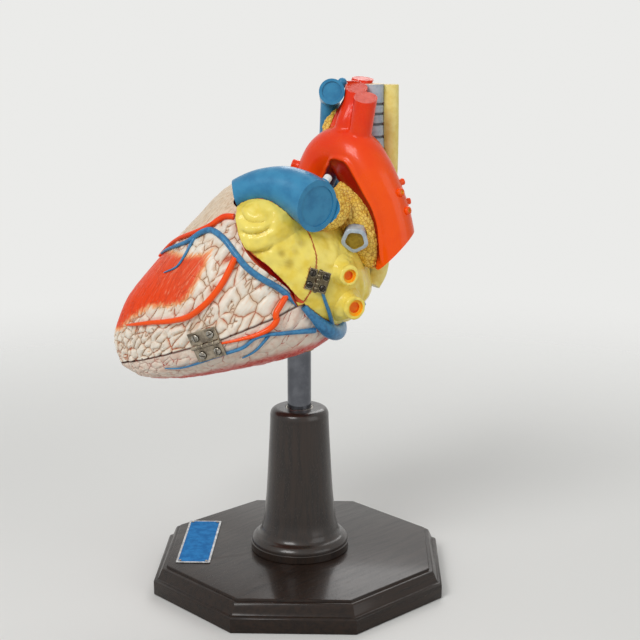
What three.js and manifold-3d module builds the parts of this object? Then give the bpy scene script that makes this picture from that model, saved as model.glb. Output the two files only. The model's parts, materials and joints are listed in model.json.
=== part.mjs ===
// Human heart anatomy model on a turned wooden stand.
// Millimetres, +Z up. The origin is on the underside of the base, on the rod's axis.
// The viewer who faces the front looks along +Y, with the apex of the heart to the left, at -X.
import * as THREE from "three";
import { mergeVertices } from "three/addons/utils/BufferGeometryUtils.js";
import Module from "manifold-3d";

const wasm = await Module();
wasm.setup();

// Stand
const baseAcrossFlats = 305;
const baseHeight = 31.5;
const baseEdgeHeight = 16.2;
const baseMouldingWidth = 14.5;
const baseTurn = THREE.MathUtils.degToRad(-2.58);
const pedestalHeight = 159.2;
const pedestalFootDiameter = 106;
const pedestalTopDiameter = 61;
const pedestalSocketDepth = 110;
const rodDiameter = 25.4;
const rodFit = 0.2;
const bushingWall = 2;
const bushingLength = 40;
const footScrewCount = 3;
const footScrewCircle = 66;
const footScrewDiameter = 5;
const footScrewLength = 50;
const footScrewHeadDiameter = 10;
const footScrewHeadHeight = 4;
const footScrewRecess = 2;
const nameplateWidth = 36.5;
const nameplateLength = 119;
const nameplateThickness = 1;
const nameplateFromEdge = 41.5;
const nameplateY = 12.4;
const nameplateTurn = THREE.MathUtils.degToRad(-3);
const nameplatePinInset = 4.2;
const nameplatePinHeadDiameter = 3.2;
const nameplatePinShankDiameter = 1.4;
const nameplatePinLength = 7;

// Where the heart stands over the pedestal, and how far it leans back
const heartRise = 128.1;
const heartTilt = THREE.MathUtils.degToRad(22.5);
const drawnTilt = THREE.MathUtils.degToRad(22.5);
const undersideBelowHeart = 66;
const rodIntoHeart = 38;
const socketWall = 3.5;
const socketInset = 2;

// Clearances
const gap = 0.3;
const seatGap = 0.25;
const valveFit = 0.7;
const sweepGap = 0.7;

// Walls of the hollow castings
const septumY = 8;
const plateInset = 5;

// Hinges
const lidHingeLength = 34;
const doorHingeLength = 22;
const lidLeafWidth = 13;
const doorLeafWidth = 8;
const leafThickness = 1.6;
const knuckleRadius = 2.3;
const knuckleCount = 5;
const pinRadius = 1.1;
const pinFit = 0.15;
const pinHeadRadius = 1.9;
const pinHeadHeight = 0.9;
const screwHeadRadius = 2.9;
const screwHeadHeight = 1.7;
const screwShankRadius = 1.25;
const screwLength = 8.5;
const screwSlotWidth = 0.8;
const screwSlotDepth = 0.8;

// Chambers and valves
const bossWall = 3;
const mitralRadius = 19;
const tricuspidRadius = 19;
const semilunarHeight = 7;
const valveRingDepth = 5;
const leafletThickness = 1.4;
const plateThickness = 20;
const vesselWall = 4;
const discRecess = 1.4;

// Facets
const around = 28;
const cutterSegments = 40;

const pedestalTop = baseHeight + pedestalHeight;
const heartOriginZ = pedestalTop + heartRise;
const rodRadius = rodDiameter / 2;

// The heart's own frame: x runs from the apex to the base of the heart, z square to the plane
// that parts the lid from the rear half, y away from the viewer.
const heart = new THREE.Group();
heart.position.z = heartOriginZ;
heart.rotation.y = -heartTilt;

// A direction or point given as the stand stands, in the frame of a heart that leans by a tilt.
function leaned(x, y, z, tilt) {
  const c = Math.cos(tilt);
  const s = Math.sin(tilt);
  return new THREE.Vector3(x * c + z * s, y, z * c - x * s);
}

// The great vessels are drawn upright, over a heart that leans by the drawn tilt.
function upright(x, y, z) {
  return leaned(x, y, z, drawnTilt);
}

function vec(x, y, z) {
  return new THREE.Vector3(x, y, z);
}

// Solids
function solid(geometry, matrix) {
  const plain = new THREE.BufferGeometry();
  const source = geometry.index ? geometry.toNonIndexed() : geometry;
  plain.setAttribute("position", source.getAttribute("position").clone());
  if (matrix) plain.applyMatrix4(matrix);
  const merged = mergeVertices(plain, 1e-3);
  const index = merged.index.array;
  const kept = [];
  for (let i = 0; i < index.length; i += 3) {
    const [a, b, c] = [index[i], index[i + 1], index[i + 2]];
    if (a !== b && b !== c && c !== a) kept.push(a, b, c);
  }
  return new wasm.Manifold(
    new wasm.Mesh({
      numProp: 3,
      vertProperties: merged.getAttribute("position").array,
      triVerts: new Uint32Array(kept),
    }),
  );
}

function geometryOf(body) {
  const mesh = body.getMesh();
  const geometry = new THREE.BufferGeometry();
  const positions = new Float32Array(mesh.numVert * 3);
  for (let i = 0; i < mesh.numVert; i++) {
    const start = i * mesh.numProp;
    positions.set(mesh.vertProperties.subarray(start, start + 3), i * 3);
  }
  geometry.setAttribute("position", new THREE.BufferAttribute(positions, 3));
  geometry.setIndex(new THREE.BufferAttribute(new Uint32Array(mesh.triVerts), 1));
  return geometry;
}

function join(...bodies) {
  return bodies.reduce((a, b) => a.add(b));
}

function cut(body, ...tools) {
  return tools.reduce((a, b) => a.subtract(b), body);
}

// A cut can leave slivers beside the piece, and the piece is its largest body.
function mainBody(body) {
  const bodies = body.decompose();
  return bodies.reduce((a, b) => (b.volume() > a.volume() ? b : a));
}

// The matrix that carries the axes of a shape to the ones named.
function frameAt(origin, xAxis, yAxis, zAxis) {
  return new THREE.Matrix4().makeBasis(xAxis, yAxis, zAxis).setPosition(origin);
}

// The matrix that turns a shape's y axis to the direction named, at the origin named.
function alongAxis(origin, direction) {
  const turn = new THREE.Quaternion().setFromUnitVectors(vec(0, 1, 0), direction.clone().normalize());
  return new THREE.Matrix4().compose(origin, turn, vec(1, 1, 1));
}

// A turned shape: pairs of radius and height, from the axis round to the axis again.
function turned(profile, segments) {
  let area = 0;
  profile.forEach(([r, h], i) => {
    const [r2, h2] = profile[(i + 1) % profile.length];
    area += r * h2 - r2 * h;
  });
  const ordered = area > 0 ? profile : [...profile].reverse();
  const points = ordered.map(([r, h]) => new THREE.Vector2(r, h));
  if (points[0].x !== 0) points.push(points[0].clone());
  return new THREE.LatheGeometry(points, segments);
}

function rod(radius, from, to, segments) {
  const length = from.distanceTo(to);
  const middle = from.clone().add(to).multiplyScalar(0.5);
  const shape = new THREE.CylinderGeometry(radius, radius, length, segments);
  return solid(shape, alongAxis(middle, to.clone().sub(from)));
}

// All that lies on the far side of a plane, which a direction and a distance along it give.
function beyond(normal, distance) {
  const reach = 600;
  const direction = normal.clone().normalize();
  const centre = direction.clone().multiplyScalar(distance + reach / 2);
  return solid(new THREE.BoxGeometry(2 * reach, reach, 2 * reach), alongAxis(centre, direction));
}

function ellipsoid(centre, radii, widthSegments = 14, heightSegments = 10) {
  const matrix = new THREE.Matrix4().compose(centre, new THREE.Quaternion(), radii);
  return solid(new THREE.SphereGeometry(1, widthSegments, heightSegments), matrix);
}

// Smooth values between given pairs, without overshoot.
function profile(pairs, root = false) {
  const start = pairs[0][0];
  const place = (s) => (root ? Math.sqrt(Math.max(s - start, 0)) : s);
  const x = pairs.map(([s]) => place(s));
  const y = pairs.map(([, value]) => value);
  const last = pairs.length - 1;
  const step = x.slice(1).map((value, i) => value - x[i]);
  const slope = step.map((value, i) => (y[i + 1] - y[i]) / value);
  const tangent = x.map((_, i) => {
    if (i === 0) return slope[0];
    if (i === last) return slope[last - 1];
    if (slope[i - 1] * slope[i] <= 0) return 0;
    const w1 = 2 * step[i] + step[i - 1];
    const w2 = step[i] + 2 * step[i - 1];
    return (w1 + w2) / (w1 / slope[i - 1] + w2 / slope[i]);
  });
  return (s) => {
    const p = Math.min(Math.max(place(s), x[0]), x[last]);
    let i = 0;
    while (i < last - 1 && p > x[i + 1]) i += 1;
    const t = (p - x[i]) / step[i];
    const a = y[i] * (1 + 2 * t) * (1 - t) ** 2 + tangent[i] * step[i] * t * (1 - t) ** 2;
    const b = y[i + 1] * t * t * (3 - 2 * t) + tangent[i + 1] * step[i] * t * t * (t - 1);
    return a + b;
  };
}

// A closed skin over rings of points, with a point at each end.
function skin(rings, startPoint, endPoint) {
  const count = rings[0].length;
  const positions = [];
  for (const ring of rings) for (const p of ring) positions.push(p.x, p.y, p.z);
  const first = positions.length / 3;
  positions.push(startPoint.x, startPoint.y, startPoint.z);
  positions.push(endPoint.x, endPoint.y, endPoint.z);
  const index = [];
  for (let j = 0; j < count; j++) {
    const k = (j + 1) % count;
    index.push(first, k, j);
    for (let i = 0; i + 1 < rings.length; i++) {
      const [a, b] = [i * count + j, i * count + k];
      index.push(a, b, a + count, b, b + count, a + count);
    }
    const end = (rings.length - 1) * count;
    index.push(first + 1, end + j, end + k);
  }
  const geometry = new THREE.BufferGeometry();
  geometry.setAttribute("position", new THREE.BufferAttribute(new Float32Array(positions), 3));
  geometry.setIndex(index);
  return geometry;
}

function bend(value, power) {
  return Math.sign(value) * Math.abs(value) ** (2 / power);
}

// A body lofted along x: at each station a rounded section about a centre, with its own reach
// toward the viewer, away, up and down.
function loft(shape, stations, count = around, inset = 0) {
  const rings = stations.map((s) => {
    const [y0, z0] = [shape.centreY(s), shape.centreZ(s)];
    const ring = [];
    for (let j = 0; j < count; j++) {
      const angle = (2 * Math.PI * j) / count;
      const c = bend(Math.cos(angle), shape.power);
      const d = bend(Math.sin(angle), shape.power);
      const across = Math.max((c < 0 ? shape.near(s) : shape.far(s)) - inset, 0.5);
      const high = Math.max((d < 0 ? shape.down(s) : shape.up(s)) - inset, 0.5);
      ring.push(vec(s, y0 + across * c, z0 + high * d));
    }
    return ring;
  });
  const [s0, s1] = [stations[0], stations[stations.length - 1]];
  const start = vec(s0, shape.centreY(s0), shape.centreZ(s0));
  const end = vec(s1, shape.centreY(s1), shape.centreZ(s1));
  return solid(skin(rings, start, end));
}

// Stations that crowd toward the rounded end of a body.
function crowded(from, to, count) {
  return Array.from({ length: count }, (_, i) => from + (to - from) * ((i + 0.35) / (count - 0.65)) ** 2);
}

function even(from, to, count) {
  return Array.from({ length: count }, (_, i) => from + ((to - from) * i) / (count - 1));
}

// A tube along a smooth curve through points, each with its own radius and depth ratio.
function tube(points, radii, steps, sides, flatness = 1) {
  const path = new THREE.CatmullRomCurve3(points, false, "centripetal");
  const frames = path.computeFrenetFrames(steps, false);
  const radius = profile(radii.map((r, i) => [i / (radii.length - 1), r]));
  const at = (u) => path.getPointAt(u);
  const nearest = (u) => {
    const p = at(u);
    let best = 0;
    let bestDistance = Infinity;
    for (let i = 0; i <= 40; i++) {
      const d = path.getPoint(i / 40).distanceTo(p);
      if (d < bestDistance) [best, bestDistance] = [i / 40, d];
    }
    return best;
  };
  const rings = [];
  for (let i = 0; i <= steps; i++) {
    const r = radius(nearest(i / steps));
    const centre = at(i / steps);
    const ring = [];
    for (let j = 0; j < sides; j++) {
      const angle = (2 * Math.PI * j) / sides;
      const out = frames.normals[i].clone().multiplyScalar(r * Math.cos(angle));
      out.addScaledVector(frames.binormals[i], r * flatness * Math.sin(angle));
      ring.push(out.add(centre));
    }
    rings.push(ring);
  }
  return solid(skin(rings, at(0), at(1)));
}

// Parts are named meshes, each with its own material.
function part(name, body, look, parent) {
  const material = new THREE.MeshStandardMaterial(look);
  const geometry = body.isBufferGeometry ? body : geometryOf(body);
  const mesh = new THREE.Mesh(geometry, material);
  mesh.name = name;
  parent.add(mesh);
  return mesh;
}

const looks = {
  wood: { color: 0x1d130e, roughness: 0.42, metalness: 0 },
  steel: { color: 0xb9bdc2, roughness: 0.3, metalness: 1 },
  chrome: { color: 0xd8dadd, roughness: 0.12, metalness: 1 },
  brass: { color: 0xb08d4a, roughness: 0.35, metalness: 1 },
  bronze: { color: 0x5b5348, roughness: 0.45, metalness: 1 },
  plate: { color: 0x3f86c4, roughness: 0.4, metalness: 0.3 },
  muscle: { color: 0xe6d2bd, roughness: 0.5, metalness: 0 },
  ring: { color: 0x7a1512, roughness: 0.5, metalness: 0 },
  valve: { color: 0xefe6cf, roughness: 0.45, metalness: 0 },
  atrium: { color: 0xe9d267, roughness: 0.45, metalness: 0 },
  rightAtrium: { color: 0x8d7fa8, roughness: 0.45, metalness: 0 },
  artery: { color: 0xee3d12, roughness: 0.35, metalness: 0 },
  vein: { color: 0x3a86b4, roughness: 0.35, metalness: 0 },
  airway: { color: 0xa9b3bd, roughness: 0.4, metalness: 0 },
  gullet: { color: 0xefdf8a, roughness: 0.45, metalness: 0 },
  lymph: { color: 0xd6a53a, roughness: 0.55, metalness: 0 },
  ligament: { color: 0xe7e2d6, roughness: 0.5, metalness: 0 },
};

// Forms of the heart, in its own frame: each is lofted along x, with its reach at each station
const apexX = -205;
const ventricles = {
  power: 2.2,
  centreY: () => 0,
  centreZ: () => 0,
  up: profile([[apexX, 0], [-202, 24.6], [-188.6, 43], [-168.6, 62], [-134.7, 81], [-98.6, 98.5],
    [-63, 114], [-36, 126], [-21, 129.4], [0, 131], [45, 120]], true),
  down: profile([[apexX, 0], [-199, 11], [-190, 21], [-163, 33.5], [-148, 38.5], [-121, 44.5],
    [-90, 49.5], [-60, 55.5], [-39, 58.5], [-8, 61], [12, 58.5], [45, 46]], true),
  near: profile([[apexX, 0], [-197, 11], [-185, 24], [-165.7, 40], [-145, 54], [-124.4, 66],
    [-100.8, 80.3], [-87, 87], [-60.5, 90.4], [-31, 90.1], [-14, 84], [1, 75], [45, 50]], true),
  far: profile([[apexX, 0], [-197, 16], [-185, 29], [-165, 45], [-125, 66], [-87, 80],
    [-60, 85], [-30, 86], [0, 79], [45, 58]], true),
};
const atria = {
  power: 2.4,
  centreY: () => 0,
  centreZ: profile([[-45, 70], [-20, 62], [0, 50], [20, 36], [40, 25], [60, 18], [79, 8]]),
  up: profile([[-45, 30], [-30, 52], [0, 70], [20, 68], [40, 60], [60, 50], [72, 36], [79, 4]]),
  down: profile([[-45, 60], [-20, 97], [0, 104], [20, 85], [40, 68], [60, 54], [72, 38], [79, 4]]),
  near: profile([[-45, 50], [-30, 74], [0, 84], [20, 84], [30, 81], [40, 77], [50, 70], [62, 56],
    [72, 38], [79, 4]]),
  far: profile([[-45, 50], [0, 74], [30, 76], [50, 68], [65, 50], [79, 4]]),
};
const leftVentricle = {
  power: 2.1,
  centreY: profile([[-172, -4], [-150, -10], [-120, -22], [-80, -34], [-40, -38], [40, -38]]),
  centreZ: profile([[-172, 0], [-120, 5], [-40, 10], [40, 8]]),
  up: profile([[-172, 2], [-150, 22], [-120, 38], [-80, 50], [-40, 55], [0, 50], [40, 36]]),
  down: profile([[-172, 2], [-150, 16], [-120, 26], [-80, 34], [-40, 38], [40, 30]]),
  near: profile([[-172, 2], [-150, 18], [-120, 26], [-80, 34], [-40, 35], [0, 30], [40, 20]]),
  far: profile([[-172, 2], [-150, 14], [-120, 20], [-80, 30], [-40, 34], [0, 30], [40, 20]]),
};
const rightVentricle = {
  power: 2.2,
  centreY: profile([[-140, 20], [-110, 26], [-70, 34], [-30, 40], [40, 42]]),
  centreZ: profile([[-140, 18], [-70, 22], [-30, 24], [40, 16]]),
  up: profile([[-140, 2], [-110, 36], [-70, 60], [-30, 68], [0, 62], [40, 40]]),
  down: profile([[-140, 2], [-110, 28], [-70, 46], [-30, 50], [40, 40]]),
  near: profile([[-140, 2], [-110, 10], [-70, 17], [-30, 20], [40, 18]]),
  far: profile([[-140, 2], [-110, 24], [-70, 34], [-30, 34], [40, 26]]),
};

// Hinge axes. Each stands a little outside the surface, and every face that a moving half passes
// is a surface of revolution about its own axis, so that it swings clear.
const lidPivot = vec(-100.8, -83, 0);
const lidAxis = vec(0.8985, -0.438, 0).normalize();
const doorPivot = vec(27.5, -85, 17.5);
const doorAxis = vec(0.636, 0, 0.772).normalize();
const doorLeft = vec(-doorAxis.z, 0, doorAxis.x);

// The lid ends at a turned face: pairs of radius from the lid's axis and place along it.
const lidEnd = [[0, 88], [46, 87.5], [51, 85.5], [58, 76.5], [71, 67.5], [84, 62.5], [95, 60.5],
  [128, 60.5], [145, 58.5], [153, 55.5], [165, 46], [178, 34], [190, 20], [215, 0]];
// The door's lower edge, likewise about the door's axis.
const doorEdge = [[0, -25], [10.5, -23.8], [25, -14.7], [53, 0.4], [69.5, 5.5], [80.6, 12],
  [87.1, 18], [94.4, 29.5], [101.5, 44.5], [104.8, 50], [111.7, 61.8], [118, 68], [135, 80]];
// The heel of the door, which turns in behind its pin: radius at a place along the axis.
const doorHeel = [[13, 3], [18, 5.5], [32, 15.8], [47, 25.7], [61.6, 32.4], [76.3, 33.2],
  [90, 30.4], [135, 30.4]];
const doorBackAngle = THREE.MathUtils.degToRad(37);
const doorFoot = -27;
const farAlong = 260;

function lidInside(clearance) {
  const outline = lidEnd.map(([r, h]) => [r, h + clearance]);
  const reach = outline[outline.length - 1][0];
  const closed = [...outline, [reach, -farAlong], [0, -farAlong]];
  return solid(turned(closed, cutterSegments), alongAxis(lidPivot, lidAxis));
}

function aboveDoorEdge(clearance) {
  const outline = doorEdge.map(([r, h]) => [r, h - clearance]);
  const reach = outline[outline.length - 1][0];
  const closed = [...outline, [reach, farAlong], [0, farAlong]];
  return solid(turned(closed, cutterSegments), alongAxis(doorPivot, doorAxis));
}

function heelBody(clearance) {
  const outline = doorHeel.map(([h, r]) => [r + clearance, h]);
  outline[0][1] -= clearance;
  const [first, last] = [outline[0][1], outline[outline.length - 1][1]];
  const closed = [[0, first], ...outline, [0, last]];
  return solid(turned(closed, cutterSegments), alongAxis(doorPivot, doorAxis));
}

// What lies toward the viewer of the door's back face, on the left of its pin.
function inFront(clearance) {
  const back = doorLeft.clone().multiplyScalar(Math.sin(doorBackAngle));
  back.y = -Math.cos(doorBackAngle);
  return beyond(back, doorPivot.dot(back) - clearance).intersect(
    beyond(doorLeft, doorPivot.dot(doorLeft) - clearance),
  );
}

// The groove between the atria and the rear half of the ventricles, and the plate of the valves.
const grooveNormal = vec(0.978, 0, 0.208).normalize();
const grooveAt = vec(5.6, 0, 0).dot(grooveNormal);
const plateFace = grooveAt + plateThickness;
const up = vec(0, 0, 1);
const down = vec(0, 0, -1);
const toApex = grooveNormal.clone().negate();

// The room of the lid and of the rear half, which the atria and the valve plate keep out of.
const lidRoom = lidInside(sweepGap).intersect(beyond(up, -gap / 2));
const rearRoom = beyond(down, -gap / 2).intersect(beyond(toApex, -grooveAt - gap));
const doorFront = inFront(sweepGap);
const doorSwing = doorFront.intersect(beyond(doorAxis, doorPivot.dot(doorAxis) + doorFoot));
const heelRoom = heelBody(sweepGap);

// Hinges
const lidHinge = {
  pivot: lidPivot, axis: lidAxis, swing: up, length: lidHingeLength, leafWidth: lidLeafWidth,
};
const doorHinge = {
  pivot: doorPivot, axis: doorAxis, swing: doorLeft, length: doorHingeLength, leafWidth: doorLeafWidth,
};
const hinges = [lidHinge, doorHinge];
for (const hinge of hinges) {
  const outward = hinge.swing.clone().cross(hinge.axis);
  hinge.outward = outward.y < 0 ? outward : outward.negate();
}

// A point in a hinge's own frame: along the pin, across it toward the moving leaf, and outward.
function onHinge(hinge, along, across, outward) {
  return hinge.pivot.clone().addScaledVector(hinge.axis, along)
    .addScaledVector(hinge.swing, across).addScaledVector(hinge.outward, outward);
}

function hingeBox(hinge, from, to) {
  const [x, y, z] = [0, 1, 2].map((i) => (from[i] + to[i]) / 2);
  const [width, height, depth] = [0, 1, 2].map((i) => Math.abs(to[i] - from[i]));
  const side = vec(0, 0, 0).crossVectors(hinge.outward, hinge.axis);
  const shape = new THREE.BoxGeometry(width, height, depth);
  return solid(shape, frameAt(onHinge(hinge, x, y, z), hinge.axis, side, hinge.outward));
}

function hingeRod(hinge, radius, from, to, segments = 12) {
  return rod(radius, onHinge(hinge, from, 0, 0), onHinge(hinge, to, 0, 0), segments);
}

const leafBack = -knuckleRadius;
const leafFront = leafBack + leafThickness;
const leafStart = knuckleRadius + 0.4;
const screwFromEnd = 6.2;

function screwPlaces(hinge, side) {
  const offset = hinge.length / 2 - screwFromEnd;
  const across = leafStart + hinge.leafWidth * 0.52;
  return [-offset, offset].map((along) => onHinge(hinge, along, side * across, leafFront));
}

function leaf(hinge, side, knuckles) {
  const half = hinge.length / 2;
  const pitch = hinge.length / knuckleCount;
  const leafEnd = side * (leafStart + hinge.leafWidth);
  let body = hingeBox(hinge, [-half, side * leafStart, leafBack], [half, leafEnd, leafFront]);
  for (const k of knuckles) {
    const from = -half + k * pitch + (k === 0 ? 0 : gap / 2);
    const to = -half + (k + 1) * pitch - (k === knuckleCount - 1 ? 0 : gap / 2);
    const webEnd = side * 1.2 * leafStart;
    const web = hingeBox(hinge, [from, side * 0.3 * knuckleRadius, leafBack], [to, webEnd, leafFront]);
    body = join(body, hingeRod(hinge, knuckleRadius, from, to), web);
  }
  const bore = hingeRod(hinge, pinRadius + pinFit, -half - 1, half + 1, 8);
  return cut(body, bore, ...screwPlaces(hinge, side).map((place) => screwHole(hinge, place)));
}

function hingePin(hinge) {
  const half = hinge.length / 2;
  const end = half + seatGap + pinHeadHeight;
  return join(
    hingeRod(hinge, pinRadius, -end, end, 8),
    hingeRod(hinge, pinHeadRadius, half + seatGap, end, 12),
    hingeRod(hinge, pinHeadRadius, -end, -half - seatGap, 12),
  );
}

// The room that the leaves and the knuckles need in the castings.
function hingeSpace(hinge) {
  const half = hinge.length / 2 + gap;
  const reach = leafStart + hinge.leafWidth + gap;
  const heads = half + seatGap + pinHeadHeight;
  const above = 12;
  return join(
    hingeBox(hinge, [-half, -reach, leafBack - gap], [half, reach, above]),
    hingeRod(hinge, knuckleRadius + 2 * gap, -heads, heads, 12),
  );
}

// A round-headed screw with a slot, whose head seats on the leaf.
function screw(hinge, place) {
  const seat = place.clone().addScaledVector(hinge.outward, seatGap);
  const steps = 2;
  const dome = Array.from({ length: steps + 1 }, (_, i) => {
    const angle = (Math.PI / 2) * (i / steps);
    return [screwHeadRadius * Math.cos(angle), 0.3 + (screwHeadHeight - 0.3) * Math.sin(angle)];
  });
  dome[steps][0] = 0;
  const headOutline = [[0, 0], [screwHeadRadius, 0], ...dome];
  const head = solid(turned(headOutline, 12), alongAxis(seat, hinge.outward));
  const tip = seat.clone().addScaledVector(hinge.outward, -screwLength);
  const shank = rod(screwShankRadius, tip, seat.clone().addScaledVector(hinge.outward, 0.5), 6);
  const turn = hinge.axis.clone().applyAxisAngle(hinge.outward, 0.6);
  const side = vec(0, 0, 0).crossVectors(hinge.outward, turn);
  const slot = new THREE.BoxGeometry(2.4 * screwHeadRadius, screwSlotWidth, 2 * screwSlotDepth);
  const top = seat.clone().addScaledVector(hinge.outward, screwHeadHeight);
  return join(head, shank).subtract(solid(slot, frameAt(top, turn, side, hinge.outward)));
}

function screwHole(hinge, place) {
  const from = place.clone().addScaledVector(hinge.outward, -screwLength - 1);
  const to = place.clone().addScaledVector(hinge.outward, 12);
  return rod(screwShankRadius + seatGap, from, to, 6);
}

const hingeRoom = join(
  ...hinges.map(hingeSpace),
  ...hinges.flatMap((hinge) => [-1, 1].flatMap((side) =>
    screwPlaces(hinge, side).map((place) => screwHole(hinge, place)))),
);

// A vessel: a tube, and the room that its neighbours leave for it.
function vessel(points, radii, steps, sides, flatness = 1) {
  return {
    body: tube(points, radii, steps, sides, flatness),
    room: tube(points, radii.map((r) => r + gap), steps, sides, flatness),
  };
}

function merged(...vessels) {
  return { body: join(...vessels.map((v) => v.body)), room: join(...vessels.map((v) => v.room)) };
}

// A vessel's end, cut square to a direction at a place on its length.
function ended(pipe, direction, place) {
  const end = beyond(direction, direction.clone().normalize().dot(place));
  return { body: pipe.body.subtract(end), room: pipe.room.subtract(end) };
}

// A shallow round recess in a cut end, which leaves a raised rim.
function recess(centre, direction, radius, depth = discRecess) {
  const out = direction.clone().normalize();
  return rod(radius, centre.clone().addScaledVector(out, -depth), centre.clone().addScaledVector(out, 8), 24);
}

// Aorta: root, arch and the three branches, with the stubs of the intercostal arteries
const aortaPath = [upright(-8, 2, 38), upright(-2, 9, 52), upright(5, 14, 70), upright(14, 16, 103),
  upright(20.5, 14, 124), upright(31, 8, 140), upright(45, 0, 146), upright(59, -10, 141),
  upright(70, -18, 127), upright(80.5, -24, 110), upright(88, -27, 96), upright(94.5, -28, 78),
  upright(100, -28, 50), upright(103, -28, 30)];
const aortaRadii = [16, 17, 19, 20.5, 21.5, 23.5, 26, 27, 26, 24, 22, 21, 20.5, 20.5];
const aortaEnd = { direction: upright(0.724, 0, -0.69), place: upright(99, -28, 48.2) };
const carotid = vessel(
  [upright(47, -1, 150), upright(49, -4, 172), upright(56.5, -1, 194), upright(60.5, 0.5, 222)],
  [15, 11.5, 11.3, 11.6], 4, 12);
const subclavian = vessel(
  [upright(61, -12, 146), upright(62.5, -16, 165), upright(65.5, -19.5, 186), upright(68.5, -21, 208)],
  [15, 11.8, 11.6, 12.2], 4, 12);
const brachiocephalic = vessel(
  [upright(38, 8, 146), upright(45, 14, 172), upright(58, 24, 196), upright(69, 31, 222)],
  [14, 10.8, 10.6, 11], 4, 12);
const intercostals = [
  [upright(88, -24, 133), upright(95, -19, 136.5), 3.6],
  [upright(96, -23, 127.4), upright(103.5, -19, 129.8), 3.4],
  [upright(90, -40, 116), upright(97, -45.7, 118.5), 4.3],
  [upright(102, -26, 110), upright(111, -24.5, 111.5), 3.4],
  [upright(97, -38, 90), upright(105.5, -44.8, 92.5), 4.3],
];
const coronaryStub = [upright(10, 20, 124), upright(-7, 23, 130), 5.5];
const arteryStubs = [...intercostals, coronaryStub].map(([from, to, radius]) => ({
  body: rod(radius, from, to, 8),
  room: rod(radius + gap, from, to, 8),
}));
const aorta = merged(
  ended(vessel(aortaPath, aortaRadii, 22, 16), aortaEnd.direction, aortaEnd.place),
  ended(carotid, upright(0.05, -0.2, 1), upright(60, 0, 214.6)),
  ended(subclavian, upright(0.05, -0.42, 1), upright(67, -20, 201.5)),
  ended(brachiocephalic, upright(0.1, -0.12, 1), upright(68, 30, 217.2)),
  ...arteryStubs,
);
const aortaLumen = tube(aortaPath.slice(0, 4), aortaRadii.slice(0, 4).map((r) => r - vesselWall), 4, 12);

// Pulmonary trunk and left pulmonary artery, whose cut end faces the viewer
const trunkPath = [vec(-34, -36, 116), vec(-20, -42, 121), vec(-6, -47, 123), vec(11, -52, 121.5),
  vec(30, -58, 113.5), vec(44, -66, 101.5), vec(52, -75, 91), vec(61, -91, 77)];
const trunkRadii = [14.2, 15, 15.8, 17.5, 21, 23.5, 24.5, 25];
const discNormal = upright(0.6, -0.75, -0.1);
const discCentre = vec(55.5, -80, 85.5);
const trunk = ended(vessel(trunkPath, trunkRadii, 11, 18), discNormal, discCentre);
const trunkLumen = tube(trunkPath.slice(0, 6), trunkRadii.slice(0, 6).map((r) => r - vesselWall), 5, 12);
const ligament = vessel([vec(60, -66, 96), vec(71, -61, 104), vec(79, -57, 111)], [4.8, 4.4, 3.8], 5, 10);

// Veins behind the arch
const cavaPath = [upright(33.5, 34, 200), upright(33, 42, 168), upright(32, 49, 130), upright(32, 48, 96),
  upright(32, 44, 70)];
const brachialEnd = upright(34, -6, 206.5);
const brachialDirection = upright(0, -1, 0.08);
const superiorCava = merged(
  vessel(cavaPath, [10, 10.5, 11, 12, 12.5], 6, 12),
  ended(
    vessel([upright(33.6, 42, 196), upright(33.8, 18, 203), upright(34, -16, 207.5)],
      [11, 12.4, 13.3], 3, 16),
    brachialDirection, brachialEnd,
  ),
  vessel([upright(36, 30, 194), upright(42, 27, 206), upright(46.5, 25, 217)], [4.6, 4.6, 4.8], 2, 8),
);
const inferiorCava = vessel(
  [upright(50, 42, 10), upright(54, 42, -14), upright(60, 42, -30)], [14, 13.5, 13.5], 3, 14);
const rightPulmonaryArtery = vessel(
  [upright(36, -30, 93), upright(46, 5, 94), upright(52, 48, 89), upright(52, 84, 86)],
  [13, 13, 12.5, 13], 5, 14);
const rightPulmonaryVeins = [
  vessel([vec(52, 30, 22), vec(62, 52, 20), vec(72, 74, 17)], [10, 10, 10.6], 3, 14),
  vessel([vec(48, 30, -10), vec(58, 52, -11), vec(68, 74, -14)], [9.5, 9.5, 10], 3, 14),
];
const leftPulmonaryVeins = [
  { base: vec(45, -48, 15.5), tip: vec(58.5, -81, 9), radius: 10 },
  { base: vec(38, -46, -17), tip: vec(51.5, -76, -24.5), radius: 11.3 },
];
const veinRim = 3.2;
const veinBoreDepth = 7;

// Airways and gullet
const trachea = ended(
  vessel([upright(76, 18, 214), upright(76.5, 21, 170), upright(78, 20, 128), upright(77, 17, 108)],
    [12, 11.8, 11.8, 12.5], 4, 14),
  upright(0, 0, 1), upright(76, 18, 207),
);
const leftBronchusEnd = upright(56, -57, 62);
const leftBronchusPath = [upright(74, 12, 108), upright(66, -12, 88), upright(58, -38, 69), leftBronchusEnd];
const leftBronchus = vessel(leftBronchusPath, [10.5, 10.5, 11, 13.5], 5, 8);
const rightBronchus = vessel(
  [upright(78, 24, 104), upright(72, 48, 84), upright(66, 76, 72)], [10.5, 10, 10.3], 4, 12);
const oesophagus = ended(
  vessel([upright(94.5, 24, 214), upright(95, 25, 160), upright(94, 25, 110), upright(88, 21, 50),
    upright(84, 16.5, 18), upright(77, 11, 3)], [9.5, 9.5, 9.5, 10, 10, 9], 8, 12, 0.85),
  upright(0, 0, 1), upright(94, 24, 208),
);

// Coronary sinus, in the groove under the left atrium
const sinus = vessel(
  [vec(4, -76.5, -3), vec(8, -73.5, -15), vec(12.5, -66, -29), vec(17, -54, -41), vec(21, -34, -50),
    vec(24, -6, -54), vec(26, 20, -51)],
  [3.4, 4.4, 6.5, 8, 8, 7.5, 6], 9, 8);

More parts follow.
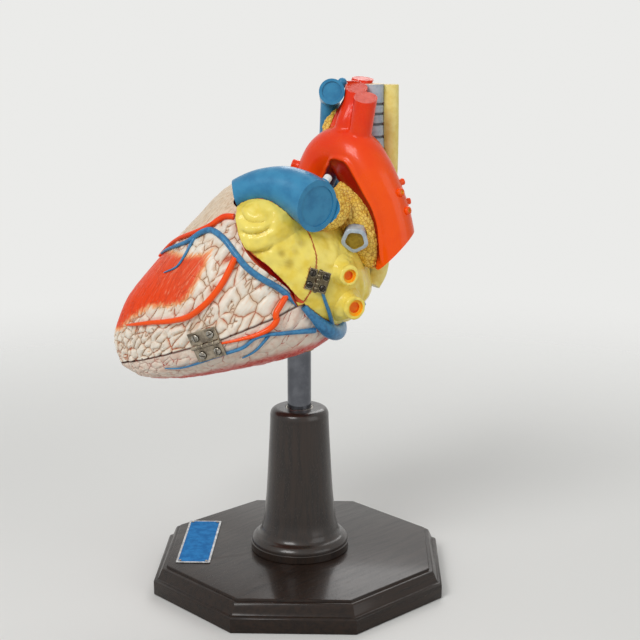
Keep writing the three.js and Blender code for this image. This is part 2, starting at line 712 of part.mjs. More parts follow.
// Solid forms of the heart and its chambers
const ventricleBody = loft(ventricles, crowded(apexX, 45, 18));
const leftCavity = loft(leftVentricle, even(-172, 40, 9), 16);
const rightCavity = loft(rightVentricle, even(-140, 40, 8), 16);
const outflow = tube(
  [vec(-74, 30, 66), vec(-46, 2, 92), vec(-30, -24, 101), vec(-4, -46, 112)], [16, 15, 13, 13], 5, 10);
const auricle = ellipsoid(vec(-2, -52, 80), vec(40, 33, 38));
const atriaBody = join(loft(atria, even(-45, 79, 12)), auricle);
const leftAtriumCavity = ellipsoid(vec(30, -38, 22), vec(36, 35, 42));
const rightAtriumCavity = ellipsoid(vec(36, 42, 18), vec(32, 26, 44));
function plateSpace(clearance) {
  return loft(ventricles, even(-60, 45, 6), 20, plateInset - clearance)
    .intersect(loft(atria, even(-45, 79, 8), 20, plateInset - clearance))
    .intersect(beyond(toApex, -plateFace - clearance));
}

// Relief on the ventricles: the great cardiac vein and the largest arteries
const greatVein = tube(
  [vec(-69, -62, 82), vec(-48, -70, 84), vec(-38, -73, 84), vec(-34, -76, 77), vec(-33, -80, 66),
    vec(-24, -84, 47), vec(-14, -83, 28), vec(-3, -79, 9), vec(2, -76, 2)],
  [1.6, 2.4, 3, 3.3, 3.4, 3.4, 3.4, 3.3, 3], 14, 6);

// Papillary muscles stand in the chambers, rooted in the wall of each half.
function papillary(root, tip, radius) {
  const middle = root.clone().add(tip).multiplyScalar(0.5);
  return tube([root, middle, tip], [radius, 0.8 * radius, 0.35 * radius], 3, 6);
}
const rearPapillaries = join(
  papillary(vec(-112, -30, -24), vec(-66, -36, -9), 8),
  papillary(vec(-84, 40, -28), vec(-46, 42, -10), 6),
);
const lidPapillaries = join(
  papillary(vec(-112, -30, 38), vec(-66, -36, 22), 8),
  papillary(vec(-92, 46, 62), vec(-50, 44, 36), 6),
);

// Rod and socket
const plumb = leaned(0, 0, 1, heartTilt);
const onRod = (z) => plumb.clone().multiplyScalar(z);
const rodTop = rodIntoHeart - undersideBelowHeart;
const socketTop = rodTop + socketWall;
const socketBottom = socketInset - undersideBelowHeart;
const socketRadius = rodRadius + rodFit + socketWall;
const belowHeart = onRod(-undersideBelowHeart - 60);
const socketRoom = rod(socketRadius + seatGap, belowHeart, onRod(socketTop + seatGap), 24);
const socketBody = cut(
  rod(socketRadius, onRod(socketBottom), onRod(socketTop), 24),
  rod(rodRadius + rodFit, onRod(socketBottom - 5), onRod(rodTop + seatGap), 24),
);
const boss = rod(socketRadius + bossWall, belowHeart, onRod(socketTop + bossWall), 18);

// The two halves of the ventricles
const ventricleHalf = (side) => ventricleBody.intersect(beyond(side, gap / 2));
const rearCavities = cut(join(leftCavity, rightCavity), boss);
const rearShell = mainBody(cut(
  join(
    cut(ventricleHalf(down).intersect(beyond(toApex, -grooveAt)), rearCavities),
    rearPapillaries.intersect(beyond(down, gap / 2)),
  ),
  socketRoom, sinus.room, hingeRoom,
));
const lidShell = mainBody(cut(
  join(
    cut(join(ventricleBody, greatVein), leftCavity, rightCavity, outflow),
    lidPapillaries,
  ).intersect(beyond(up, gap / 2)).intersect(lidInside(0)),
  hingeRoom,
));
part("ventricle_rear_shell", rearShell, looks.muscle, heart);
part("ventricle_front_shell", lidShell, looks.muscle, heart);
part("rod_socket", socketBody, looks.brass, heart);
part("coronary_sinus", sinus.body, looks.vein, heart);

// Plate of the valves
const mitralCentre = vec(8, -37, 8);
const tricuspidCentre = vec(19.5, 42, 10);
function orifice(centre, radius) {
  const reach = 45;
  const from = centre.clone().addScaledVector(grooveNormal, -reach);
  const to = centre.clone().addScaledVector(grooveNormal, reach);
  return rod(radius, from, to, 24);
}
const doorReach = doorFront.intersect(aboveDoorEdge(sweepGap));
const valvePlate = mainBody(cut(
  plateSpace(0),
  lidRoom, rearRoom, doorReach, heelRoom, sinus.room, aorta.room, hingeRoom,
  orifice(mitralCentre, mitralRadius + seatGap), orifice(tricuspidCentre, tricuspidRadius + seatGap),
));
part("valve_plate", valvePlate, looks.ring, heart);

// A valve: a ring in the orifice and leaflets that hang toward the apex, open in the middle.
function valve(centre, direction, radius, depth, opening) {
  const half = valveRingDepth / 2;
  const inner = radius - 2 * leafletThickness;
  const rim = [[radius, half], [radius, -half], [radius - leafletThickness, -half]];
  const funnel = [[opening, -depth], [opening - leafletThickness, -depth], [inner, half]];
  return solid(turned([...rim, ...funnel], 18), alongAxis(centre, direction));
}
part("mitral_valve", valve(mitralCentre, grooveNormal, mitralRadius, 13, 7), looks.valve, heart);
part("tricuspid_valve", valve(tricuspidCentre, grooveNormal, tricuspidRadius, 4, 8), looks.valve, heart);

// The valves of the two outlets sit in the bores of their vessels, and point the way of the blood.
const boreFit = Math.cos(Math.PI / 12);
function outletValve(path, radii, opening) {
  const flow = path[3].clone().sub(path[1]).normalize();
  const radius = (radii[2] - vesselWall) * boreFit - valveFit;
  return valve(path[2], flow.negate(), radius, semilunarHeight, opening);
}
part("aortic_valve", outletValve(aortaPath, aortaRadii, 2.5), looks.valve, heart);
part("pulmonary_valve", outletValve(trunkPath, trunkRadii, 2.2), looks.valve, heart);

// Fixed part of the atria
const fixedAtria = cut(
  atriaBody, lidRoom, rearRoom, plateSpace(gap), heelRoom, hingeRoom, aorta.room, sinus.room);
const leftSide = beyond(vec(0, -1, 0), gap / 2 - septumY);
const rightSide = beyond(vec(0, 1, 0), gap / 2 + septumY);
const stubs = leftPulmonaryVeins.map(({ base, tip, radius }) => rod(radius, base, tip, 20));
const stubBores = leftPulmonaryVeins.map(({ base, tip, radius }) =>
  recess(tip, tip.clone().sub(base), radius - veinRim, veinBoreDepth));
const leftAtrium = mainBody(cut(
  join(fixedAtria.intersect(leftSide), ...stubs),
  plateSpace(gap), ...stubBores, leftAtriumCavity, doorSwing, heelRoom, hingeRoom, rightPulmonaryArtery.room,
));
part("left_atrium_shell", leftAtrium, looks.atrium, heart);
const rightAtrium = mainBody(cut(
  fixedAtria.intersect(rightSide),
  rightAtriumCavity, doorSwing, superiorCava.room, inferiorCava.room, rightPulmonaryArtery.room,
  ...rightPulmonaryVeins.map((vein) => vein.room),
));
part("right_atrium_shell", rightAtrium, looks.rightAtrium, heart);

// Door: the left auricle with the front of the left atrium, and what it carries
const doorRegion = join(inFront(0), heelBody(0)).intersect(aboveDoorEdge(0));
const door = mainBody(cut(atriaBody.intersect(doorRegion), leftAtriumCavity, trunk.room, lidRoom, hingeRoom));
part("left_atrium_door", door, looks.atrium, heart);
const trunkBody = mainBody(cut(
  trunk.body.intersect(doorRegion),
  trunkLumen, lidRoom, aorta.room, recess(discCentre, discNormal, 20.5),
));
part("pulmonary_trunk", trunkBody, looks.vein, heart);
part("ligament_stub", mainBody(cut(ligament.body, trunk.room)), looks.ligament, heart);
const frontNodes = ellipsoid(vec(60, -44, 76), vec(27, 27, 25), 12, 8);
part("lymph_nodes_front", mainBody(cut(
  frontNodes.intersect(doorRegion), trunk.room, atriaBody, aorta.room, ligament.room,
)), looks.lymph, heart);

// Great vessels
part("aortic_arch", mainBody(cut(aorta.body, lidRoom, aortaLumen)), looks.artery, heart);
const cavaTools = [aorta.room, rightPulmonaryArtery.room, trachea.room];
part("superior_vena_cava", mainBody(cut(
  superiorCava.body, ...cavaTools, fixedAtria, recess(brachialEnd, brachialDirection, 10),
)), looks.vein, heart);
const rightVeinRooms = rightPulmonaryVeins.map((vein) => vein.room);
part("inferior_vena_cava", mainBody(cut(
  inferiorCava.body, fixedAtria, ...rightVeinRooms,
)), looks.vein, heart);
part("right_pulmonary_artery", mainBody(cut(
  rightPulmonaryArtery.body, aorta.room, doorSwing, heelRoom,
)), looks.vein, heart);
rightPulmonaryVeins.forEach((vein, i) => {
  part("right_pulmonary_vein_" + (i + 1), mainBody(cut(vein.body, rightAtriumCavity)), looks.atrium, heart);
});

// Airways, gullet and lymph nodes
part("trachea", mainBody(cut(trachea.body, aorta.room)), looks.airway, heart);
part("left_bronchus", mainBody(cut(
  leftBronchus.body, aorta.room, heelRoom, doorSwing, rightPulmonaryArtery.room, trachea.room, fixedAtria,
  recess(leftBronchusEnd, leftBronchusEnd.clone().sub(leftBronchusPath[2]), 9.3, 3),
)), looks.airway, heart);
part("right_bronchus", mainBody(cut(
  rightBronchus.body, aorta.room, trachea.room, leftBronchus.room, rightPulmonaryArtery.room,
  superiorCava.room,
)), looks.airway, heart);
part("oesophagus", mainBody(cut(
  oesophagus.body, aorta.room, trachea.room, leftBronchus.room, rightBronchus.room, fixedAtria,
  ...rightVeinRooms,
)), looks.gullet, heart);
const lymphTools = [
  aorta.room, trachea.room, leftBronchus.room, rightPulmonaryArtery.room, superiorCava.room,
  oesophagus.room, doorSwing, heelRoom, fixedAtria,
];
part("lymph_nodes_arch", mainBody(cut(
  ellipsoid(vec(84, -26, 44), vec(20, 21, 48), 12, 8), ...lymphTools,
)), looks.lymph, heart);
part("lymph_nodes_trachea", mainBody(cut(
  ellipsoid(upright(52, 20, 164), vec(28, 13, 26), 12, 8), ...lymphTools,
)), looks.lymph, heart);

// The hinges, each with two leaves, a pin and four screws
const hingeNames = ["lid_hinge", "door_hinge"];
hinges.forEach((hinge, i) => {
  const name = hingeNames[i];
  part(name + "_fixed_leaf", leaf(hinge, -1, [0, 2, 4]), looks.bronze, heart);
  part(name + "_moving_leaf", leaf(hinge, 1, [1, 3]), looks.bronze, heart);
  part(name + "_pin", hingePin(hinge), looks.bronze, heart);
  for (const [side, words] of [[-1, "_fixed_screw_"], [1, "_moving_screw_"]]) {
    screwPlaces(hinge, side).forEach((place, k) => {
      part(name + words + (k + 1), screw(hinge, place), looks.steel, heart);
    });
  }
});

// Stand, upright
const stand = new THREE.Group();
const zUp = new THREE.Matrix4().makeRotationX(Math.PI / 2);

// A turned piece that stands on the z axis.
function upturned(outline, segments) {
  return solid(turned(outline, segments), zUp);
}

function drilled(radius, from, to, x = 0, y = 0, segments = 20) {
  return rod(radius, vec(x, y, from), vec(x, y, to), segments);
}

const baseRadius = baseAcrossFlats / 2 / Math.cos(Math.PI / 8);
const mouldingRise = baseHeight - baseEdgeHeight;
const moulding = Array.from({ length: 7 }, (_, i) => {
  const t = i / 6;
  const wave = t - Math.sin(2 * Math.PI * t) / (2 * Math.PI);
  const inset = baseMouldingWidth * (0.15 + 0.7 * t);
  return [baseRadius - inset, baseEdgeHeight + mouldingRise * (0.06 + 0.78 * wave)];
});
const topFaceRadius = baseRadius - baseMouldingWidth;
const baseOutline = [
  [0, 0], [baseRadius, 0], [baseRadius, baseEdgeHeight], ...moulding,
  [topFaceRadius, baseHeight - 0.16 * mouldingRise], [topFaceRadius, baseHeight], [0, baseHeight],
];
const octagonTurn = new THREE.Matrix4().makeRotationZ(baseTurn + Math.PI / 8);
const footScrewPlaces = Array.from({ length: footScrewCount }, (_, i) => {
  const angle = Math.PI / 2 + (2 * Math.PI * i) / footScrewCount;
  return vec(Math.cos(angle), Math.sin(angle), 0).multiplyScalar(footScrewCircle / 2);
});
const footScrewSeat = footScrewRecess + footScrewHeadHeight;
const footScrewTop = footScrewSeat + footScrewLength;

// A round space or piece on a vertical axis through a place.
function upstanding(radius, from, to, place, segments) {
  return drilled(radius, from, to, place.x, place.y, segments);
}

const nameplateFrame = new THREE.Matrix4().makeRotationZ(nameplateTurn);
nameplateFrame.setPosition(nameplateFromEdge - baseAcrossFlats / 2, nameplateY, baseHeight);
const pinCorners = [[-1, -1], [1, -1], [1, 1], [-1, 1]].map(([i, j]) =>
  vec(i * (nameplateWidth / 2 - nameplatePinInset), j * (nameplateLength / 2 - nameplatePinInset), 0)
    .applyMatrix4(nameplateFrame));
const pinTip = baseHeight - nameplatePinLength;
const pinHoles = pinCorners.map((place) =>
  upstanding(nameplatePinShankDiameter / 2 + seatGap, pinTip - 1, baseHeight + 5, place, 8));
const basePlate = cut(
  solid(turned(baseOutline, 8), octagonTurn.clone().multiply(zUp)),
  ...footScrewPlaces.flatMap((place) => [
    upstanding(footScrewDiameter / 2 + seatGap, -1, baseHeight + 1, place, 12),
    upstanding(footScrewHeadDiameter / 2 + seatGap, -1, footScrewSeat, place, 14),
  ]),
  ...pinHoles,
);
part("base_plate", basePlate, looks.wood, stand);

const footRadius = pedestalFootDiameter / 2;
const topRadius = pedestalTopDiameter / 2;
const pedestalBottom = baseHeight + gap;
const footOutline = [[0, 8], [1.2, 12], [4.5, 15.5], [8.5, 18], [11.5, 24], [13.8, 34], [15.4, 48], [17, 64]];
const topOutline = [[-1, 12], [-0.8, 7], [0.6, 3], [4, 0.4], [6.5, 0]];
const pedestalOutline = [
  [0, pedestalBottom], [footRadius, pedestalBottom],
  ...footOutline.map(([inset, rise]) => [footRadius - inset, pedestalBottom + rise]),
  ...topOutline.map(([inset, drop]) => [topRadius - inset, pedestalTop - drop]),
  [0, pedestalTop],
];
const bushingRadius = rodRadius + rodFit + bushingWall;
const socketFloor = pedestalTop - pedestalSocketDepth;
const bushingFrom = pedestalTop - bushingLength;
const pedestal = cut(
  upturned(pedestalOutline, 28),
  drilled(bushingRadius + seatGap, bushingFrom - seatGap, pedestalTop + 5, 0, 0, 28),
  drilled(rodRadius + rodFit, socketFloor, pedestalTop, 0, 0, 28),
  ...footScrewPlaces.map((place) =>
    upstanding(footScrewDiameter / 2 + seatGap, baseHeight - 1, footScrewTop + 1, place, 12)),
);
part("pedestal", pedestal, looks.wood, stand);
part("pedestal_bushing", cut(
  drilled(bushingRadius, bushingFrom, pedestalTop, 0, 0, 28),
  drilled(rodRadius + rodFit, bushingFrom - 1, pedestalTop + 1, 0, 0, 28),
), looks.steel, stand);
footScrewPlaces.forEach((place, i) => {
  const seat = footScrewSeat - seatGap;
  part("foot_screw_" + (i + 1), join(
    upstanding(footScrewHeadDiameter / 2, footScrewRecess, seat, place, 14),
    upstanding(footScrewDiameter / 2, footScrewRecess + 1, footScrewTop, place, 12),
  ), looks.steel, stand);
});

const plateLift = seatGap + nameplateThickness / 2;
const nameplateShape = new THREE.BoxGeometry(nameplateWidth, nameplateLength, nameplateThickness);
const plateSeat = new THREE.Matrix4().makeTranslation(0, 0, plateLift);
const nameplate = solid(nameplateShape, nameplateFrame.clone().multiply(plateSeat));
part("nameplate", cut(nameplate, ...pinHoles), looks.plate, stand);
const plateTop = baseHeight + seatGap + nameplateThickness;
pinCorners.forEach((place, i) => {
  const head = nameplatePinHeadDiameter / 2;
  const headSeat = plateTop + seatGap;
  const headFrame = new THREE.Matrix4().makeTranslation(place.x, place.y, headSeat).multiply(zUp);
  const pin = join(
    upstanding(nameplatePinShankDiameter / 2, pinTip, headSeat + 0.3, place, 8),
    solid(turned([[0, 0], [head, 0], [0.8 * head, 0.5], [0, 0.8]], 12), headFrame),
  );
  part("nameplate_pin_" + (i + 1), pin, looks.steel, stand);
});

const supportRod = drilled(rodRadius, socketFloor + gap, heartOriginZ + rodTop, 0, 0, 32);
part("support_rod", supportRod, looks.chrome, stand);

const model = new THREE.Group();
model.add(stand, heart);

export default model;
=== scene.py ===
"""The looks of an enlarged human heart model for the classroom, on a turned wooden stand."""
import json
import math

import bmesh
import bpy
import numpy as np
from mathutils import Matrix, Vector
from mathutils.bvhtree import BVHTree

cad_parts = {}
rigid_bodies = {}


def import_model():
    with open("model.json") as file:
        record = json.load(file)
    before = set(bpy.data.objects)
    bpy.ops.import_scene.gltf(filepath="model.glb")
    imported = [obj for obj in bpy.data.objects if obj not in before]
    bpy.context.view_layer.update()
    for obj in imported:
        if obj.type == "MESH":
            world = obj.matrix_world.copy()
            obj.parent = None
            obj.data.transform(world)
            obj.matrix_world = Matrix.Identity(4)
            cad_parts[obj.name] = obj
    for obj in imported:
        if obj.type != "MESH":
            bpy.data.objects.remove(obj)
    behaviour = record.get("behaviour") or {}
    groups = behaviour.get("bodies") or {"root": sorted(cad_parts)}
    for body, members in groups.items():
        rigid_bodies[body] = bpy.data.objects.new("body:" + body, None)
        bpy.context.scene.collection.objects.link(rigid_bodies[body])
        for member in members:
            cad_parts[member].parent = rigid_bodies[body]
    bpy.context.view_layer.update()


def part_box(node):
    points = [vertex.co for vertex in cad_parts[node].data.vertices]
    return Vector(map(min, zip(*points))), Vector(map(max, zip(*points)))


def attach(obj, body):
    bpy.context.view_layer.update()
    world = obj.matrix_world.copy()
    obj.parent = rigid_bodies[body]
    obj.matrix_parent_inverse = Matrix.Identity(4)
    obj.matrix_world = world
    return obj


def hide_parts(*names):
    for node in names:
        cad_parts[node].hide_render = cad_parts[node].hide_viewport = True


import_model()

# Sizes are in millimetres, and pieces of the heart are shaped in the heart's own frame: x runs from
# the apex to the base of the heart, z square to the seam of the lid, y away from the viewer.
MM = 0.001
heart_rise = 128.1
heart_tilt = math.radians(22.5)
pedestal_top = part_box("pedestal")[1].z / MM
heart_z = pedestal_top + heart_rise

# Clearances, as between the castings
gap = 0.3
sweep_gap = 0.7
vessel_wall = 4
disc_recess = 1.4
septum_y = 8
plate_inset = 5
plate_thickness = 20

# Hinges
lid_hinge_length, lid_leaf_width = 34, 13
door_hinge_length, door_leaf_width = 22, 8
leaf_thickness = 1.6
knuckle_radius = 2.3
knuckle_count = 5
pin_radius = 1.1
pin_head_radius = 1.9
pin_head_height = 0.9
screw_head_height = 2.0
screw_slot = 0.8
seat_gap = 0.25

# Stand
base_across_flats = 305
base_height = 31.5
base_edge_height = 16.2
base_moulding_width = 14.5
base_turn = math.radians(-2.58)
pedestal_foot_radius = 53
pedestal_top_radius = 30.5
pedestal_socket_depth = 110
rod_radius = 12.7
rod_fit = 0.2
bushing_wall = 2
bushing_length = 40
foot_screw_circle_radius = 33
foot_screw_radius = 2.5
foot_screw_head_radius = 5
foot_screw_seat = 6
foot_screw_top = 56
nameplate_width, nameplate_length, nameplate_thickness = 36.5, 119, 1
nameplate_place = (-111, 12.4)
nameplate_turn = math.radians(-3)
nameplate_pin_inset = 4.2
nameplate_pin_radius = 1.6


def vec(x, y, z):
    """A point or direction in the heart's frame, or in the frame of the stand."""
    return np.array((x, y, z), float)


def unit(v):
    """A direction of length one."""
    v = np.asarray(v, float)
    return v / np.linalg.norm(v)


def upright(x, y, z):
    """A point or direction given as the stand stands, in the heart's frame."""
    c, s = math.cos(heart_tilt), math.sin(heart_tilt)
    return vec(x * c + z * s, y, z * c - x * s)


def to_world(points):
    """Points of the heart's frame, in metres in the frame of the stand."""
    c, s = math.cos(heart_tilt), math.sin(heart_tilt)
    x, y, z = np.asarray(points, float).T
    return np.column_stack((x * c - z * s, y, x * s + z * c + heart_z)) * MM


# Curves

def profile(pairs, root=False):
    """Smooth values between given pairs, without overshoot."""
    start = pairs[0][0]

    def place(s):
        s = np.asarray(s, float)
        return np.sqrt(np.maximum(s - start, 0)) if root else s

    x = place([pair[0] for pair in pairs])
    y = np.array([pair[1] for pair in pairs], float)
    step = np.diff(x)
    slope = np.diff(y) / step
    tangent = np.concatenate((slope[:1], np.zeros(len(x) - 2), slope[-1:]))
    for i in range(1, len(x) - 1):
        if slope[i - 1] * slope[i] > 0:
            w1, w2 = 2 * step[i] + step[i - 1], step[i] + 2 * step[i - 1]
            tangent[i] = (w1 + w2) / (w1 / slope[i - 1] + w2 / slope[i])

    def at(s):
        p = np.clip(place(s), x[0], x[-1])
        i = np.clip(np.searchsorted(x, p, side="right") - 1, 0, len(step) - 1)
        t = (p - x[i]) / step[i]
        start_side = y[i] * (1 + 2 * t) * (1 - t) ** 2 + tangent[i] * step[i] * t * (1 - t) ** 2
        end_side = y[i + 1] * t * t * (3 - 2 * t) + tangent[i + 1] * step[i] * t * t * (t - 1)
        return start_side + end_side

    return at


def through(points, per_span=24):
    """A smooth curve through points, as close samples, with each one's place in the list."""
    p = [np.asarray(point, float) for point in points]
    p = [2 * p[0] - p[1], *p, 2 * p[-1] - p[-2]]
    samples, places = [], []
    for i in range(len(p) - 3):
        a, b, c, d = p[i : i + 4]
        before, span, after = (math.sqrt(np.linalg.norm(v)) for v in (b - a, c - b, d - c))
        leave = ((b - a) / before - (c - a) / (before + span) + (c - b) / span) * span
        arrive = ((c - b) / span - (d - b) / (span + after) + (d - c) / after) * span
        for t in np.arange(per_span) / per_span:
            cubic = 2 * b - 2 * c + leave + arrive
            square = 3 * c - 3 * b - 2 * leave - arrive
            samples.append(b + t * (leave + t * (square + t * cubic)))
            places.append(i + t)
    return np.array(samples + [p[-2]]), np.array(places + [len(p) - 3])


def evenly(samples, places, step):
    """The samples of a curve, taken again at an even distance."""
    run = np.concatenate(([0], np.cumsum(np.linalg.norm(np.diff(samples, axis=0), axis=1))))
    at = np.linspace(0, run[-1], max(4, round(run[-1] / step) + 1))
    points = np.column_stack([np.interp(at, run, samples[:, k]) for k in range(samples.shape[1])])
    return points, np.interp(at, run, places)


def carried_frames(points):
    """Two directions square to a curve at each of its points, which turn with it and never twist."""
    along = np.gradient(points, axis=0)
    along /= np.linalg.norm(along, axis=1)[:, None]
    side = np.cross(along[0], np.eye(3)[np.argmin(np.abs(along[0]))])
    sides = []
    for direction in along:
        side = unit(side - direction * (side @ direction))
        sides.append(side)
    sides = np.array(sides)
    return sides, np.cross(along, sides), along


# Solids, kept as Blender meshes of a workshop in the heart's frame until a piece is finished

workshop = bpy.data.collections.new("workshop")
bpy.context.scene.collection.children.link(workshop)


def mesh_of(name, points, quads=(), triangles=()):
    """A mesh of the given points and faces."""
    mesh = bpy.data.meshes.new(name)
    corners = np.concatenate((np.ravel(quads), np.ravel(triangles))).astype(np.int32)
    sizes = np.concatenate((np.full(len(quads), 4), np.full(len(triangles), 3))).astype(np.int32)
    mesh.vertices.add(len(points))
    mesh.vertices.foreach_set("co", np.asarray(points, np.float32).ravel())
    mesh.loops.add(len(corners))
    mesh.loops.foreach_set("vertex_index", corners)
    mesh.polygons.add(len(sizes))
    mesh.polygons.foreach_set("loop_start", np.concatenate(([0], np.cumsum(sizes)[:-1])).astype(np.int32))
    mesh.polygons.foreach_set("loop_total", sizes)
    mesh.update(calc_edges=True)
    return mesh


def in_workshop(mesh, material=None):
    """A mesh as an object in the workshop, in one paint if it is given."""
    made = bpy.data.objects.new(mesh.name, mesh)
    workshop.objects.link(made)
    if material:
        mesh.materials.append(material)
    return made


def skin(rings, material, start=None, end=None):
    """A closed body over rings of points, with a point at each end or joined end to end."""
    rings = np.asarray(rings, float)
    count, around = rings.shape[:2]
    points = rings.reshape(-1, 3)
    a = np.arange(count * around).reshape(count, around)
    b = np.roll(a, -1, axis=1)
    if start is None:
        far_a, far_b = np.roll(a, -1, axis=0), np.roll(b, -1, axis=0)
        near_a, near_b = a, b
    else:
        near_a, near_b, far_a, far_b = a[:-1], b[:-1], a[1:], b[1:]
    quads = np.stack((near_a, near_b, far_b, far_a), -1).reshape(-1, 4)
    triangles = np.zeros((0, 3), int)
    if start is not None:
        first = np.full(around, len(points))
        points = np.vstack((points, start, end))
        triangles = np.vstack((
            np.column_stack((first, b[0], a[0])),
            np.column_stack((first + 1, a[-1], b[-1])),
        ))
    halves = np.vstack((quads[:, [0, 1, 2]], quads[:, [0, 2, 3]], triangles))
    p, q, r = (points[halves[:, k]] for k in range(3))
    if np.einsum("ij,ij->", p, np.cross(q, r)) < 0:
        quads, triangles = quads[:, ::-1], triangles[:, ::-1]
    return in_workshop(mesh_of("solid", points, quads, triangles), material)


def bend(value, power):
    """A sine or cosine, changed so that a round section grows squarer with the power."""
    return np.sign(value) * np.abs(value) ** (2 / power)


def loft(form, stations, around, material, inset=0.0):
    """A body lofted along x: a rounded section about a centre, with its own reach each way."""
    s = np.asarray(stations, float)[:, None]
    angle = 2 * np.pi * np.arange(around)[None, :] / around
    c, d = bend(np.cos(angle), form["power"]), bend(np.sin(angle), form["power"])
    reach_y = np.maximum(np.where(c < 0, form["near"](s), form["far"](s)) - inset, 0.5)
    reach_z = np.maximum(np.where(d < 0, form["down"](s), form["up"](s)) - inset, 0.5)
    y0, z0 = form["centre_y"](s), form["centre_z"](s)
    rings = np.stack((s + 0 * c, y0 + reach_y * c, z0 + reach_z * d), -1)
    ends = [vec(s[k, 0], y0[k, 0], z0[k, 0]) for k in (0, -1)]
    return skin(rings, material, *ends)


def pipe(points, radii, sides, material, flatness=1.0, corners=(0, 0.0, 0.0)):
    """A tube along close points, with a radius at each, and blunt corners if there are any."""
    side, lift, _ = carried_frames(points)
    angle = 2 * np.pi * np.arange(sides) / sides
    count, sharpness, turn = corners
    swell = 1 + sharpness * np.cos(count * (angle - turn)) if count else np.ones(sides)
    across, over = swell * np.cos(angle), swell * np.sin(angle) * flatness
    out = side[:, None] * across[None, :, None] + lift[:, None] * over[None, :, None]
    rings = points[:, None] + out * np.asarray(radii)[:, None, None]
    return skin(rings, material, points[0], points[-1])


def tube(route, radii, material, step=2.0, sides=48, grow=0.0, flatness=1.0, corners=(0, 0.0, 0.0)):
    """A tube along a smooth curve through a route, each point with its own radius."""
    points, places = evenly(*through(route), step)
    radius = profile(list(enumerate(radii)))(places) + grow
    return pipe(points, radius, sides, material, flatness, corners)


def turned(outline, pivot, axis, material, segments=180):
    """A turned body: pairs of radius and place along the axis, closed at the axis or on itself."""
    axis = unit(axis)
    side = unit(np.cross(axis, np.eye(3)[np.argmin(np.abs(axis))]))
    angle = 2 * np.pi * np.arange(segments) / segments
    circle = side * np.cos(angle)[:, None] + np.cross(axis, side) * np.sin(angle)[:, None]
    outline = np.asarray(outline, float)
    closed = outline[0][0] == 0
    if closed:
        tips = [pivot + axis * outline[k][1] for k in (0, -1)]
        outline = outline[1:-1]
    rings = pivot + circle[None] * outline[:, 0, None, None] + axis * outline[:, 1, None, None]
    return skin(rings, material, *tips) if closed else skin(rings, material)


def rod(radius, start, end, material, segments=48):
    """A round rod from one point to another."""
    length = np.linalg.norm(end - start)
    outline = [[0, 0], [radius, 0], [radius, length], [0, length]]
    return turned(outline, start, end - start, material, segments)


def ellipsoid(centre, radii, material, around=72):
    """A ball with its own radius along x, y and z."""
    angle = np.linspace(0, np.pi, around // 2 + 1)[1:-1]
    turn = 2 * np.pi * np.arange(around) / around
    x = np.sin(angle)[:, None] * np.cos(turn)
    y = np.sin(angle)[:, None] * np.sin(turn)
    z = np.cos(angle)[:, None] + 0 * turn
    rings = centre + np.stack((x, y, z), -1) * radii
    tip = vec(0, 0, radii[2])
    return skin(rings, material, centre + tip, centre - tip)


def block(centre, axes, sizes, material):
    """A box about a centre, along three directions."""
    half = [unit(axis) * size / 2 for axis, size in zip(axes, sizes)]
    square = [-half[0] - half[1], half[0] - half[1], half[0] + half[1], half[1] - half[0]]
    rings = [[centre + corner + side * half[2] for corner in square] for side in (-1, 1)]
    points = np.array(rings).reshape(-1, 3)
    sides = [[k, (k + 1) % 4, 4 + (k + 1) % 4, 4 + k] for k in range(4)]
    made = mesh_of("block", points, np.array([*sides, [3, 2, 1, 0], [4, 5, 6, 7]]))
    if np.dot(np.cross(half[0], half[1]), half[2]) < 0:
        made.flip_normals()
    return in_workshop(made, material)


def beyond(normal, distance, material):
    """All that lies on the far side of a plane, as a slab whose small faces a hole can't lie within."""
    reach, count = 300, 16
    direction = unit(normal)
    side = unit(np.cross(direction, np.eye(3)[np.argmin(np.abs(direction))]))
    other = np.cross(direction, side)
    steps = np.linspace(-reach, reach, count + 1)
    sheet = side * steps[:, None, None] + other * steps[None, :, None]
    layers = [(sheet + direction * (distance + rise)).reshape(-1, 3) for rise in (0, reach)]
    at = np.arange((count + 1) ** 2).reshape(count + 1, count + 1)
    near = np.stack((at[:-1, :-1], at[:-1, 1:], at[1:, 1:], at[1:, :-1]), -1).reshape(-1, 4)
    rim = np.concatenate((at[:-1, 0], at[-1, :-1], at[:0:-1, -1], at[0, :0:-1]))
    after = np.roll(rim, -1)
    size = at.size
    walls = np.column_stack((rim, after, after + size, rim + size))
    quads = np.vstack((near, near[:, ::-1] + size, walls))
    return in_workshop(mesh_of("slab", np.vstack(layers), quads), material)


def applied(made):
    """An object with the mesh that its modifiers make of it."""
    graph = bpy.context.evaluated_depsgraph_get()
    result = bpy.data.meshes.new_from_object(made.evaluated_get(graph), depsgraph=graph)
    made.modifiers.clear()
    made.data = result
    return made


def worked(base, operation, tools):
    """A copy of a solid after its tools have cut, joined or trimmed it."""
    made = bpy.data.objects.new(base.name, base.data)
    workshop.objects.link(made)
    for tool in tools:
        step = made.modifiers.new("step", "BOOLEAN")
        step.object = tool
        step.operation = operation
        step.solver = "MANIFOLD"
        step.material_mode = "TRANSFER"
    return applied(made)


def softened(solid, width, worn=None):
    """A copy of a solid with its sharp edges rounded over, in the paint of worn edges if there is one."""
    made = bpy.data.objects.new(solid.name, solid.data.copy())
    workshop.objects.link(made)
    step = made.modifiers.new("edges", "BEVEL")
    step.width = width
    step.segments = 2
    step.limit_method = "ANGLE"
    step.angle_limit = math.radians(35)
    step.use_clamp_overlap = False
    if worn:
        made.data.materials.append(worn)
        step.material = len(made.data.materials) - 1
    return applied(made)


def cut(base, *tools):
    """A copy of a solid without what its tools fill."""
    return worked(base, "DIFFERENCE", tools)


def joined(base, *tools):
    """A copy of a solid with others added to it."""
    return worked(base, "UNION", tools)


def trimmed(base, *tools):
    """A copy of a solid, kept only where all of its tools are."""
    return worked(base, "INTERSECT", tools)


# Node trees, written alike for materials and for the relief of the meshes

